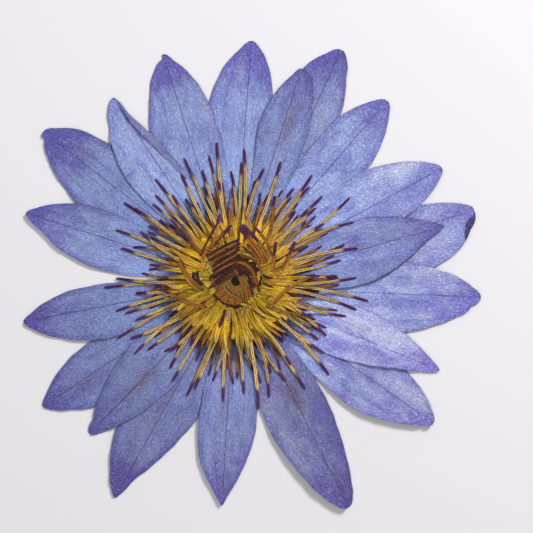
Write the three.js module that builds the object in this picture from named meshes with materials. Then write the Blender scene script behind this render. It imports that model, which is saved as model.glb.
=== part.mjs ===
// A water lily flower pressed flat: four sepals, sixteen petals, stamens in bundles,
// and the stigma disc with its ring of carpel tips on a flat receptacle.
// Millimetres. Z is up from the surface the flower lies on, and the origin is on the flower's axis.
import * as THREE from 'three';

const DEGREE = Math.PI / 180;

// Perianth: sepals and petals.
const PETAL_THICKNESS = 0.3;
const LAYER_GAP = 0.15;
const ROOT_RADIUS = 7.7;
const ROOT_HALF_WIDTH = 2.4;
const LOWER_STATION = 0.12;
const LOWER_WIDTH_SHARE = 0.6;
const WIDTH_STATIONS = [0.3, 0.5, 0.65, 0.8, 0.9, 0.96];
const LENGTH_ROWS = [0, 0.05, 0.1, 0.16, 0.24, 0.33, 0.43, 0.54, 0.65, 0.76, 0.86, 0.94, 0.985];
const CROSS_COLUMNS = [-1, -0.5, 0, 0.5, 1];
const LIFT_START = 0.3;
const LIFT_RATE = 2;

// Each row, from the lowest layer to the top one:
// [name, bearing of the root in degrees, tip x, tip y, sideways bow of the midrib,
//  widths left of the line from root to tip, widths right of it, lift left, lift right].
const PERIANTH = [
  ['sepal_01', 66, 40.8, 88.2, 0, [8, 12, 13.2, 12, 8.8, 4.6], [7, 9.8, 11, 9.4, 6.3, 4], 0, 0],
  ['sepal_02', 141, -73.5, 57.2, 0, [9, 13.5, 14.1, 11.2, 7.3, 3.9], [8, 11.5, 12.2, 10.9, 8, 4.3], 0, 0],
  ['sepal_03', 243, -46, -83, 0, [10, 12.9, 10.6, 6.4, 3, 1.7], [8.5, 12, 13.3, 11, 7, 3.9], 0, 0],
  ['sepal_04', -43, 76, -54.5, 0, [7, 10.5, 11.5, 9.8, 7, 3.8], [9, 11.8, 12.9, 10, 6.2, 3.6], 0, 3],
  ['petal_01', 14, 91.7, 27, 0, [7, 9, 9.3, 7.6, 5.4, 2.6], [9, 14, 17, 15.8, 12, 6.5], 0, 0],
  ['petal_02', 212, -73.7, -48, 0, [8.5, 12.5, 13.3, 11.1, 6.9, 3.8], [7.5, 10.5, 11, 9.1, 5.8, 2.8], 0, 0],
  ['petal_03', 91, 6.3, 92, 2.5, [9, 13, 14.7, 12.5, 8.3, 4], [8, 10, 10.5, 9.3, 6.8, 4], 0, 0],
  ['petal_04', -22, 94.2, -6.2, 0, [9, 12, 12.5, 10, 7.3, 3.8], [9, 14, 15, 11.6, 7.8, 4.5], 0, 0],
  ['petal_05', 266, -5, -86, 0, [9, 11.5, 10.9, 7.7, 4.3, 1.7], [7.5, 10, 10.6, 9.1, 5, 2.2], 0, 2],
  ['petal_06', 57, 58.3, 69, 0, [5.5, 9.5, 10.5, 10, 6.9, 3.8], [8, 11.5, 11.6, 10, 6.9, 3.8], 0, 0],
  ['petal_07', 28, 79.3, 43.2, -1.5, [8, 12.5, 13.6, 11, 7.6, 4.2], [7, 9.5, 10, 9, 6.2, 3.5], 0, 0],
  ['petal_08', 190, -81, -15.7, 0, [8, 11.8, 12.2, 9.6, 6.4, 3.3], [6.5, 8.2, 8.6, 7.5, 5, 2.5], 0, 0],
  ['petal_09', 107, -27.7, 86.8, 0, [8.5, 13, 14, 10.8, 7.3, 3.6], [8, 11.2, 11.5, 9.9, 6.7, 3.2], 0, 0],
  ['petal_10', -62, 43.5, -86.7, 0, [8.5, 10.9, 10.3, 8, 5.6, 3.6], [10, 13.8, 13.2, 10.3, 7.3, 4.4], 0, 3],
  ['petal_11', -36, 78.3, -34.3, 0, [7.5, 10.5, 10.5, 7.4, 4.4, 2.1], [8.5, 10.4, 8.6, 5.6, 3.5, 1.9], 0, 0.6],
  ['petal_12', 231, -55.7, -58.5, 0, [7.5, 10.5, 9.6, 7.4, 4.6, 3.3], [8.5, 12, 11.1, 8, 4.3, 2.8], 0, 0],
  ['petal_13', 160, -80, 26, 0, [8.5, 11.7, 11.5, 8.8, 4.8, 2.6], [6.5, 9.5, 10.3, 8.9, 5.8, 3], 1.4, 0],
  ['petal_14', 122, -46.8, 70.2, 0, [8, 12, 13, 10.6, 7, 4.3], [7.5, 7.1, 5.5, 3.4, 1.6, 1.2], 0, 0.8],
  ['petal_15', 2, 80, 21, -1.5, [8.5, 11.5, 11, 8, 4.6, 2.2], [10, 13, 12, 7.5, 3.6, 1.7], 0, 0.8],
  ['petal_16', 77, 25.5, 81.3, 0, [4, 6.5, 8.7, 7.8, 5.2, 2.5], [6, 8.7, 10, 8.9, 7.3, 5], 0, 0],
];

// Stamens, in bundles joined at their bases. Tip radii run round from the +X side. The strips
// are straight between their steps, and a tip is narrower than the rest.
const STAMEN_THICKNESS = 0.6;
const STAMEN_GAP = 0.2;
const STAMEN_TIP_SHARE = 0.6;
const STAMEN_TIP_LENGTH = 3;
const OUTER_HALF_WIDTH = 0.65;
const OUTER_BASE_RADIUS = 9.2;
const OUTER_STEPS = [16, 22, 30, 38, 46, 56];
const OUTER_BUNDLES = [
  [47, 39, 41, 49], [44, 51, 45, 40], [54, 42, 47, 39], [35, 46, 50, 42], [36, 49, 44, 40],
  [51, 46, 42, 53], [39, 49, 44, 38], [51, 46, 37, 41], [50, 45, 43, 48], [52, 39, 41, 50],
  [45, 46, 50, 38], [47, 44, 41, 50], [46, 48, 43, 36], [42, 45, 48, 44], [39, 46, 43, 50],
  [40, 46, 38, 43], [50, 39, 51, 44], [39, 41, 45, 52],
];
const INNER_HALF_WIDTH = 0.8;
const INNER_BASE_RADIUS = 7.6;
const INNER_STEPS = [14, 20, 27, 34];
const INNER_BUNDLES = [
  [31, 27, 29], [24, 30, 28], [30, 33, 26], [29, 31, 34], [27, 30, 25], [28, 32, 29],
  [31, 27, 24], [26, 29, 30], [24, 27, 31], [29, 25, 28], [27, 30, 28], [30, 26, 29],
];

// Centre of the flower: the disc and the carpel ring lie on the roots of the petals and stamens.
const RECEPTACLE_RADIUS = 6.6;
const RECEPTACLE_FOOT_RADIUS = 5.2;
const RECEPTACLE_FOOT_HEIGHT = 1;
const RECEPTACLE_SEGMENTS = 32;
const CENTRE_GAP = 0.3;
const DISC_RADIUS = 9.2;
const DISC_FOOT_RADIUS = 8.6;
const DISC_EDGE_HEIGHT = 0.6;
const DISC_RIM_WIDTH = 0.8;
const DISC_RIM_HEIGHT = 1.9;
const DISC_HOLLOW_RADIUS = 2.6;
const DISC_HOLLOW_HEIGHT = 1;
const DISC_SEGMENTS = 36;
const KNOB_RADIUS = 1.6;
const KNOB_EDGE_HEIGHT = 1.3;
const KNOB_HEIGHT = 1.6;
const CARPEL_COUNT = 18;
const CARPEL_INNER_RADIUS = 9.5;
const CARPEL_OUTER_RADIUS = 11.2;
const CARPEL_NOTCH_RADIUS = 10.5;
const CARPEL_HEIGHT = 1.7;
const CARPEL_DROP = 0.7;

const SKIN_COLOURS = { sepal: '#6f76b4', petal: '#8087c0' };
const STAMEN_COLOUR = '#c9a54a';
const INNER_STAMEN_COLOUR = '#b98a4c';
const RECEPTACLE_COLOUR = '#7d7450';
const DISC_COLOUR = '#a4754a';
const CARPEL_COLOUR = '#c8ad45';
const PETAL_ROUGHNESS = 0.75;
const STAMEN_ROUGHNESS = 0.6;
const WOODY_ROUGHNESS = 0.8;

const flower = new THREE.Group();
flower.name = 'pressed_water_lily_flower';

// The height map says how high the layers laid so far reach, on a square grid over the surface.
const MAP_STEP = 0.8;
const MAP_HALF_SIDE = 104;
const MAP_COUNT = Math.round((2 * MAP_HALF_SIDE) / MAP_STEP) + 1;
const heightMap = new Float64Array(MAP_COUNT * MAP_COUNT);

function mapIndex(value) {
  return Math.round((value + MAP_HALF_SIDE) / MAP_STEP);
}

// Highest point of the layers within a given distance of (x, y).
function highestNear(x, y, reach) {
  const cells = Math.ceil(reach / MAP_STEP);
  const limit = (reach + MAP_STEP) ** 2;
  let highest = 0;
  for (let row = -cells; row <= cells; row += 1) {
    for (let column = -cells; column <= cells; column += 1) {
      const apart = (row * row + column * column) * MAP_STEP * MAP_STEP;
      if (apart <= limit) {
        const cell = (mapIndex(y) + row) * MAP_COUNT + mapIndex(x) + column;
        highest = Math.max(highest, heightMap[cell]);
      }
    }
  }
  return highest;
}

// Marks one triangle of a laid piece's top face on the height map.
function markTriangle(a, b, c) {
  const longest = Math.max(a.distanceTo(b), b.distanceTo(c), c.distanceTo(a));
  const steps = Math.ceil((2 * longest) / MAP_STEP);
  for (let i = 0; i <= steps; i += 1) {
    for (let j = 0; j <= steps - i; j += 1) {
      const u = i / steps;
      const v = j / steps;
      const x = a.x + (b.x - a.x) * u + (c.x - a.x) * v;
      const y = a.y + (b.y - a.y) * u + (c.y - a.y) * v;
      const z = a.z + (b.z - a.z) * u + (c.z - a.z) * v;
      const cell = mapIndex(y) * MAP_COUNT + mapIndex(x);
      heightMap[cell] = Math.max(heightMap[cell], z);
    }
  }
}

// How far each point is from the far corners of the triangles that it belongs to.
function reachOfPoints(points, triangles) {
  const reach = points.map(() => 0);
  for (const triangle of triangles) {
    for (const from of triangle) {
      for (const to of triangle) {
        const apart = Math.hypot(points[from].x - points[to].x, points[from].y - points[to].y);
        reach[from] = Math.max(reach[from], apart);
      }
    }
  }
  return reach;
}

// Lays flat outlines, which don't cross one another, over everything below them.
// pieces: {name, points: {x, y, lift}, triangles: counter-clockwise from above, thickness, gap}.
function layTogether(pieces) {
  const laid = pieces.map(({ points, triangles, thickness, gap }) => {
    const reach = reachOfPoints(points, triangles);
    const lower = points.map((point, index) => {
      const below = highestNear(point.x, point.y, reach[index]);
      const rest = below > 0 ? below + gap : 0;
      return new THREE.Vector3(point.x, point.y, rest + point.lift);
    });
    const upper = lower.map((point) => new THREE.Vector3(point.x, point.y, point.z + thickness));
    return { lower, upper };
  });
  pieces.forEach(({ name, triangles, colour, roughness }, index) => {
    const { lower, upper } = laid[index];
    for (const [a, b, c] of triangles) {
      markTriangle(upper[a], upper[b], upper[c]);
    }
    addSlab(name, lower, upper, triangles, colour, roughness);
  });
}

// Closes a lower and an upper face, which share their triangles, with side walls.
function addSlab(name, lower, upper, triangles, colour, roughness) {
  const count = lower.length;
  const faces = [];
  const edges = new Set();
  for (const [a, b, c] of triangles) {
    faces.push([a + count, b + count, c + count], [a, c, b]);
    edges.add(`${a},${b}`);
    edges.add(`${b},${c}`);
    edges.add(`${c},${a}`);
  }
  for (const edge of edges) {
    const [a, b] = edge.split(',').map(Number);
    if (!edges.has(`${b},${a}`)) {
      faces.push([a, b, b + count], [a, b + count, a + count]);
    }
  }
  const positions = [...lower, ...upper].flatMap((p) => [p.x, p.y, p.z]);
  const geometry = new THREE.BufferGeometry();
  geometry.setAttribute('position', new THREE.Float32BufferAttribute(positions, 3));
  geometry.setIndex(faces.flat());
  addMesh(name, geometry, colour, roughness);
}

function addMesh(name, geometry, colour, roughness) {
  geometry.computeVertexNormals();
  const material = new THREE.MeshStandardMaterial({ color: colour, roughness, metalness: 0 });
  const mesh = new THREE.Mesh(geometry, material);
  mesh.name = name;
  flower.add(mesh);
}

// Width of a petal's side at a share t of its length, along a smooth curve through the stations.
function sideWidth(widths, t) {
  const stations = [0, LOWER_STATION, ...WIDTH_STATIONS, 1];
  const values = [ROOT_HALF_WIDTH, LOWER_WIDTH_SHARE * widths[0], ...widths, 0];
  let k = 0;
  while (k < stations.length - 2 && t > stations[k + 1]) {
    k += 1;
  }
  const u = (t - stations[k]) / (stations[k + 1] - stations[k]);
  if (k === stations.length - 2) {
    return values[k] * Math.sqrt(Math.max(0, 1 - u));
  }
  const slope = (i) => {
    const from = Math.max(0, i - 1);
    const to = Math.min(stations.length - 1, i + 1);
    return (values[to] - values[from]) / (stations[to] - stations[from]);
  };
  const span = stations[k + 1] - stations[k];
  const u2 = u * u;
  const u3 = u2 * u;
  return (2 * u3 - 3 * u2 + 1) * values[k] + (u3 - 2 * u2 + u) * span * slope(k)
    + (3 * u2 - 2 * u3) * values[k + 1] + (u3 - u2) * span * slope(k + 1);
}

function smoothStep(value) {
  const u = Math.min(1, Math.max(0, value));
  return u * u * (3 - 2 * u);
}

function layPetal([name, bearing, tipX, tipY, bow, left, right, liftLeft, liftRight]) {
  const root = new THREE.Vector2(Math.cos(bearing * DEGREE), Math.sin(bearing * DEGREE));
  root.multiplyScalar(ROOT_RADIUS);
  const tip = new THREE.Vector2(tipX, tipY);
  const along = tip.clone().sub(root);
  const aside = new THREE.Vector2(-along.y, along.x).normalize();
  const points = [];
  for (const t of LENGTH_ROWS) {
    const midrib = bow * Math.sin(Math.PI * t);
    for (const s of CROSS_COLUMNS) {
      const side = s < 0 ? sideWidth(left, t) - midrib : sideWidth(right, t) + midrib;
      const offset = midrib - s * side;
      const lift = (s < 0 ? liftLeft : liftRight) * s * s * smoothStep((t - LIFT_START) * LIFT_RATE);
      const x = root.x + along.x * t + aside.x * offset;
      const y = root.y + along.y * t + aside.y * offset;
      points.push({ x, y, lift });
    }
  }
  points.push({ x: tipX, y: tipY, lift: 0 });
  const columns = CROSS_COLUMNS.length;
  const tipIndex = points.length - 1;
  const triangles = [];
  for (let column = 0; column < columns - 1; column += 1) {
    for (let row = 0; row < LENGTH_ROWS.length - 1; row += 1) {
      const a = row * columns + column;
      const b = a + columns;
      triangles.push([a, a + 1, b + 1], [a, b + 1, b]);
    }
    const last = (LENGTH_ROWS.length - 1) * columns + column;
    triangles.push([last, last + 1, tipIndex]);
  }
  const colour = SKIN_COLOURS[name.split('_')[0]];
  const thickness = PETAL_THICKNESS;
  layTogether([{ name, points, triangles, thickness, gap: LAYER_GAP, colour, roughness: PETAL_ROUGHNESS }]);
}

// A bundle of stamens: straight strips that leave a shared curved base.
function stamenBundle(name, startBearing, spacing, tipRadii, shape) {
  const points = [];
  const triangles = [];
  const addPoint = (radius, bearing, sideways) => {
    const x = radius * Math.cos(bearing) - sideways * Math.sin(bearing);
    const y = radius * Math.sin(bearing) + sideways * Math.cos(bearing);
    points.push({ x, y, lift: 0 });
    return points.length - 1;
  };
  let previous = null;
  tipRadii.forEach((tipRadius, index) => {
    const bearing = (startBearing + index * spacing) * DEGREE;
    const pair = (radius, halfWidth) => [
      addPoint(radius, bearing, -halfWidth),
      addPoint(radius, bearing, halfWidth),
    ];
    const baseHalf = (shape.halfWidth * shape.baseRadius) / shape.steps[0];
    const base = pair(shape.baseRadius, baseHalf);
    let ring = pair(shape.steps[0], shape.halfWidth);
    triangles.push([base[0], ring[0], ring[1]], [base[0], ring[1], base[1]]);
    if (previous) {
      triangles.push([previous.base[1], previous.ring[1], ring[0]]);
      triangles.push([previous.base[1], ring[0], base[0]]);
    }
    previous = { base, ring };
    const steps = [...shape.steps.slice(1).filter((r) => r < tipRadius - STAMEN_TIP_LENGTH), tipRadius];
    for (const step of steps) {
      const half = step === tipRadius ? STAMEN_TIP_SHARE * shape.halfWidth : shape.halfWidth;
      const next = pair(step, half);
      triangles.push([ring[0], next[0], next[1]], [ring[0], next[1], ring[1]]);
      ring = next;
    }
  });
  const { colour } = shape;
  const thickness = STAMEN_THICKNESS;
  return { name, points, triangles, thickness, gap: STAMEN_GAP, colour, roughness: STAMEN_ROUGHNESS };
}

PERIANTH.forEach(layPetal);

function layStamenRing(prefix, bundles, shape) {
  const spacing = 360 / (bundles.length * bundles[0].length);
  layTogether(bundles.map((tipRadii, index) => {
    const name = `${prefix}_${String(index + 1).padStart(2, '0')}`;
    return stamenBundle(name, index * spacing * tipRadii.length, spacing, tipRadii, shape);
  }));
}

layStamenRing('stamens_outer', OUTER_BUNDLES, {
  halfWidth: OUTER_HALF_WIDTH,
  baseRadius: OUTER_BASE_RADIUS,
  steps: OUTER_STEPS,
  colour: STAMEN_COLOUR,
});
layStamenRing('stamens_inner', INNER_BUNDLES, {
  halfWidth: INNER_HALF_WIDTH,
  baseRadius: INNER_BASE_RADIUS,
  steps: INNER_STEPS,
  colour: INNER_STAMEN_COLOUR,
});

function addTurned(name, profile, segments, colour) {
  const outline = profile.map(([radius, height]) => new THREE.Vector2(radius, height));
  const geometry = new THREE.LatheGeometry(outline, segments);
  geometry.rotateX(Math.PI / 2);
  addMesh(name, geometry, colour, WOODY_ROUGHNESS);
}

const rootsTop = highestNear(0, 0, CARPEL_OUTER_RADIUS);
const discFloor = rootsTop + CENTRE_GAP;
addTurned('receptacle', [
  [0, 0],
  [RECEPTACLE_FOOT_RADIUS, 0],
  [RECEPTACLE_RADIUS, RECEPTACLE_FOOT_HEIGHT],
  [RECEPTACLE_RADIUS, rootsTop],
  [0, rootsTop],
], RECEPTACLE_SEGMENTS, RECEPTACLE_COLOUR);
addTurned('stigma_disc', [
  [0, discFloor],
  [DISC_FOOT_RADIUS, discFloor],
  [DISC_RADIUS, discFloor + DISC_EDGE_HEIGHT],
  [DISC_RADIUS, discFloor + DISC_RIM_HEIGHT],
  [DISC_RADIUS - DISC_RIM_WIDTH, discFloor + DISC_RIM_HEIGHT],
  [DISC_HOLLOW_RADIUS, discFloor + DISC_HOLLOW_HEIGHT],
  [KNOB_RADIUS, discFloor + KNOB_EDGE_HEIGHT],
  [0, discFloor + KNOB_HEIGHT],
], DISC_SEGMENTS, DISC_COLOUR);

// The ring of carpel tips stands round the stigma disc with a scalloped outer edge.
function addCarpelRing() {
  const count = CARPEL_COUNT * 2;
  const lower = [];
  const upper = [];
  const triangles = [];
  for (let i = 0; i < count; i += 1) {
    const angle = (i / count) * 2 * Math.PI;
    const outer = i % 2 === 0 ? CARPEL_OUTER_RADIUS : CARPEL_NOTCH_RADIUS;
    for (const [radius, drop] of [[CARPEL_INNER_RADIUS, 0], [outer, CARPEL_DROP]]) {
      const x = radius * Math.cos(angle);
      const y = radius * Math.sin(angle);
      lower.push(new THREE.Vector3(x, y, discFloor));
      upper.push(new THREE.Vector3(x, y, discFloor + CARPEL_HEIGHT - drop));
    }
    const a = 2 * i;
    const b = (2 * i + 2) % (2 * count);
    triangles.push([a, a + 1, b + 1], [a, b + 1, b]);
  }
  addSlab('carpel_ring', lower, upper, triangles, CARPEL_COLOUR, WOODY_ROUGHNESS);
}
addCarpelRing();

export default flower;
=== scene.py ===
"""A pressed water lily flower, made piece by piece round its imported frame."""
import math
from collections import namedtuple

import bpy
import numpy as np
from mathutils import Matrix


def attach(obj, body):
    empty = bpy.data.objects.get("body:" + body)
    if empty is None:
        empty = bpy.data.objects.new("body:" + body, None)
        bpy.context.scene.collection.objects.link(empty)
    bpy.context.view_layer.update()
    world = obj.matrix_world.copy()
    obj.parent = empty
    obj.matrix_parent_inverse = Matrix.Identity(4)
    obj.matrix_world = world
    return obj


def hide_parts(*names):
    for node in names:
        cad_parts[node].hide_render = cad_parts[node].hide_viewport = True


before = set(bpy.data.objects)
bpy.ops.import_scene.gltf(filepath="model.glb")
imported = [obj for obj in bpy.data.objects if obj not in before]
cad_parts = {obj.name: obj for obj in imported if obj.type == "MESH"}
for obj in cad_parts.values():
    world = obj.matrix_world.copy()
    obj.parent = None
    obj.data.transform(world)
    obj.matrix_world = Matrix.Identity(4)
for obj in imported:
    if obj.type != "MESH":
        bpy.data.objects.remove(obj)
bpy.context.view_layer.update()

bl_info = {
    "name": "Pressed water lily flower",
    "version": (1, 0, 0),
    "blender": (4, 5, 0),
    "location": "View3D > Sidebar > Water lily",
    "description": "Builds a pressed water lily flower petal by petal, with its stamens and stigma disc",
    "category": "Add Mesh",
}

MM = 0.001  # the tables below are in millimetres, and the meshes in metres
PRESS_HEIGHT = 9.0  # no point is higher after pressing


def tint(red, green, blue):
    """A display colour from 0 to 255 as the linear colour that a shader takes."""
    return tuple(((v / 255 + 0.055) / 1.055) ** 2.4 if v > 10 else v / 255 / 12.92
                 for v in (red, green, blue))


# ---------------------------------------------------------------- sizes and colours


class LilySizes(bpy.types.PropertyGroup):
    petal_thickness: bpy.props.FloatProperty(
        name="Petal thickness", description="Thickness of a dried petal",
        default=0.16 * MM, min=0.05 * MM, unit="LENGTH")
    petal_gap: bpy.props.FloatProperty(
        name="Petal gap", description="Air left between two petals that lie on each other",
        default=0.05 * MM, unit="LENGTH")
    petal_reach: bpy.props.FloatProperty(
        name="Drape reach", description="How far round an edge below it a petal is lifted",
        default=2.0 * MM, unit="LENGTH")
    crinkle: bpy.props.FloatProperty(
        name="Crinkle height", description="Height of the fine waves of a petal's skin",
        default=0.09 * MM, unit="LENGTH")
    stamen_width: bpy.props.FloatProperty(
        name="Stamen width", description="Width of the pollen-bearing part of an outer stamen",
        default=1.2 * MM, unit="LENGTH")
    stamen_tip: bpy.props.FloatProperty(
        name="Stamen tip length", description="Length of the dark tip of a long outer stamen",
        default=6.5 * MM, unit="LENGTH")
    filament_width: bpy.props.FloatProperty(
        name="Filament width", description="Width of an outer stamen's flat base",
        default=1.9 * MM, unit="LENGTH")
    disc_radius: bpy.props.FloatProperty(
        name="Disc radius", description="Radius of the stigma disc's rim",
        default=10.0 * MM, unit="LENGTH")


def colour_property(name, description, *rgb):
    return bpy.props.FloatVectorProperty(
        name=name, description=description, subtype="COLOR", size=3, min=0, max=1,
        default=tint(*rgb))


class LilyColours(bpy.types.PropertyGroup):
    petal_base: colour_property("Petal base", "Petal colour near the middle of the flower", 144, 166, 224)
    petal_middle: colour_property("Petal middle", "Petal colour half way out", 148, 164, 222)
    petal_end: colour_property("Petal end", "Petal colour near its tip", 104, 98, 184)
    petal_violet: colour_property("Petal violet", "Warmer tone of the violet petals", 124, 104, 174)
    # petal_vein is also the painted shade along the petal margins.
    petal_vein: colour_property("Petal vein", "Line of the midrib", 66, 72, 132)
    petal_rib: colour_property("Petal rib", "Red-brown midribs of the warmer petals", 124, 66, 92)
    # petal_pale is also the painted highlight on the raised crinkles.
    petal_pale: colour_property("Petal pale", "Washed-out margins", 208, 212, 236)
    petal_stain: colour_property("Petal stain", "Brown stains along the midribs", 128, 104, 96)
    sepal_back: colour_property("Sepal back", "Green underside of the sepals", 96, 112, 84)
    pollen: colour_property("Pollen", "Gold ridges of the outer stamens", 232, 204, 136)
    filament: colour_property("Filament", "Flat yellow bases of the stamens", 234, 182, 2)
    # filament_light is also the painted highlight on the raised carpel tissue.
    filament_light: colour_property("Filament streaks", "Light streaks along the filaments", 250, 224, 96)
    filament_olive: colour_property("Filament olive", "Greener filaments beside the disc", 206, 176, 16)
    stamen_dusk: colour_property("Stamen dusk", "Brown-violet of the oldest stamens", 66, 34, 40)
    inner_filament: colour_property("Inner filament", "Orange-brown inner stamens", 204, 124, 30)
    stamen_tip: colour_property("Stamen tip", "Dark violet tips of the stamens", 76, 36, 84)
    # stamen_edge is also painted shade: the stamens' groove, outline and hollows, the carpel folds and the
    # petal roots; besides that it colours the stamens' dark streaks.
    stamen_edge: colour_property("Stamen edge", "Dark outline and groove of the stamens", 76, 46, 34)
    disc: colour_property("Disc", "Orange-brown of the stigma disc", 156, 98, 32)
    disc_rim: colour_property("Disc rim", "Dark brown rim of the stigma disc", 44, 24, 18)
    carpel: colour_property("Carpel tips", "Greenish yellow of the carpel tips", 178, 148, 44)
    receptacle: colour_property("Receptacle", "Olive brown of the cut stalk", 122, 112, 74)
    floor: colour_property("Floor", "Pale sheet under the flower", 222, 220, 223)


# ---------------------------------------------------------------- sepals and petals

Petal = namedtuple("Petal", "node bearing tip bow left right point lift light violet deep wash rib")

# From the lowest layer to the top one. bearing is that of the root in degrees; left and right are
# the widths beside the line from root to tip at WIDTH_STATIONS; point is how sharp the tip is;
# lift is how far the left and right margins stand up; light, violet and deep (a dark tip) set the
# petal's tone, wash how cloudy it is and rib how red its midrib is.
ROOT_RADIUS = 7.7
ROOT_HALF_WIDTH = 2.4
WIDTH_STATIONS = (0.3, 0.5, 0.65, 0.8, 0.9, 0.96)
PERIANTH = (
    Petal("sepal_01", 66, (40.8, 88.6), 0, (8, 12, 13.2, 12, 8.8, 4.6), (7, 9.8, 11, 9.4, 6.3, 4),
          0.5, (0.1, 0.2), 0.9, 0.30, 1.1, 0.3, 0),
    Petal("sepal_02", 141, (-73.5, 57.2), 0, (9, 13.5, 14.1, 11.2, 7.3, 3.9),
          (8, 11.5, 12.2, 10.9, 8, 4.3), 0.5, (0.3, 0.1), 0.81, 0.05, 1.5, 0.2, 0),
    Petal("sepal_03", 243, (-46, -83), 0, (10, 12.9, 10.6, 6.4, 3, 1.7),
          (8.5, 12, 13.3, 11, 7, 3.9), 0.7, (0.1, 0.6), 0.71, 0.55, 1.4, 0.2, 0.9),
    Petal("sepal_04", -43, (76, -54.5), 0, (7, 10.5, 11.5, 9.8, 7, 3.8),
          (9, 11.8, 12.9, 10, 6.2, 3.6), 0.5, (0, 2.6), 1.04, 0.75, 0.9, 0.8, 0.5),
    Petal("petal_01", 14, (91.7, 27), 0, (7, 9, 9.3, 7.8, 5.8, 3.6), (9, 14, 17, 15.8, 12, 6.5),
          0.4, (0.2, 0.8), 1.19, 0.75, 0.3, 0.6, 0),
    Petal("petal_02", 212, (-73.7, -48), 0, (8.5, 12.5, 13.3, 11.1, 6.9, 3.8),
          (7.5, 10.5, 11, 9.1, 5.8, 2.8), 0.6, (0.3, 0.1), 0.74, 0.25, 1, 0.2, 0.7),
    Petal("petal_03", 91, (6.3, 92), 2.5, (9, 13, 14.7, 12.5, 8.3, 4), (8, 10, 10.5, 9.3, 6.8, 4),
          0.55, (0.1, 0.1), 1.01, 0.15, 1.4, 0.35, 0),
    Petal("petal_04", -22, (94.2, -6.2), 0, (9, 12, 12.5, 10, 7.3, 3.8), (9, 14, 15, 11.6, 7.8, 4.5),
          0.55, (0.2, 0.6), 1.17, 0.5, 0.9, 0.8, 0.1),
    Petal("petal_05", 266, (-5, -86), 0, (9, 11.5, 10.9, 7.7, 4.3, 1.7), (7.5, 10, 10.6, 9.1, 5, 2.2),
          0.8, (0.1, 1.4), 0.82, 0.5, 1, 0.25, 0.8),
    Petal("petal_06", 57, (58.3, 69), 0, (5.5, 9.5, 10.5, 10, 6.9, 3.8), (8, 11.5, 11.6, 10, 6.9, 3.8),
          0.45, (0.1, 0.1), 1.06, 0.15, 0.7, 0.5, 0),
    Petal("petal_07", 28, (79.3, 43.2), -1.5, (8, 12.5, 13.6, 11, 7.6, 4.2), (7, 9.5, 10, 9, 6.2, 3.5),
          0.55, (0.1, 0.8), 1.17, 0.35, 0.5, 0.6, 0),
    Petal("petal_08", 190, (-81, -15.7), 0, (8, 11.8, 12.2, 9.6, 6.4, 3.3), (6.5, 8.2, 8.6, 7.5, 5, 2.5),
          0.55, (0.6, 0.1), 0.74, 0.12, 1.1, 0.2, 0),
    Petal("petal_09", 107, (-27.7, 86.8), 0, (8.5, 13, 14, 10.8, 7.3, 3.6),
          (8, 11.2, 11.5, 9.9, 6.7, 3.2), 0.5, (0.1, 0.1), 0.91, 0.1, 1.3, 0.35, 0),
    Petal("petal_10", -62, (43.5, -86.7), 0, (8.5, 10.9, 10.3, 8, 5.6, 3.6),
          (10, 13.8, 13.2, 10.3, 7.3, 4.4), 0.45, (0, 2.8), 0.69, 1, 1.2, 0.45, 0.9),
    Petal("petal_11", -36, (78.3, -34.3), 0, (7.5, 10.5, 10.5, 7.4, 4.4, 2.1),
          (8.5, 10.4, 8.6, 5.6, 3.5, 1.9), 0.6, (0.1, 0.6), 1.3, 0.85, 0.9, 1, 1),
    Petal("petal_12", 231, (-55.7, -58.5), 0, (7.5, 10.5, 9.6, 7.4, 4.6, 2.7), (8.5, 12, 11.1, 8, 4.6, 2.5),
          0.45, (0.2, 0.1), 0.71, 0.32, 0.8, 0.2, 0.2),
    Petal("petal_13", 160, (-80, 26), 0, (8.5, 11.7, 11.5, 8.8, 4.8, 2.6), (6.5, 9.5, 10.3, 8.9, 5.8, 3),
          0.55, (1.2, 0.1), 0.86, 0.1, 1.4, 0.3, 0),
    Petal("petal_14", 122, (-46.8, 70.2), 0, (8, 12, 13, 10.6, 7, 4.3), (7.5, 7.1, 5.5, 3.4, 1.6, 1.2),
          0.5, (0.1, 0.2), 1, 0.02, 0.3, 0.5, 0),
    Petal("petal_15", 2, (80, 21), -1.5, (8.5, 11.5, 11, 8, 4.6, 2.2), (10, 13, 12, 7.5, 3.6, 1.7),
          0.7, (0.1, 0.7), 0.99, 0.50, 0.9, 0.35, 0.5),
    Petal("petal_16", 77, (25.5, 81.3), 0, (4, 6.5, 8.7, 7.8, 5.2, 2.5), (6, 8.7, 10, 8.9, 7.3, 5),
          0.5, (0.1, 0.3), 0.88, 0.25, 0.8, 0.2, 0.3),
)

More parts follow.
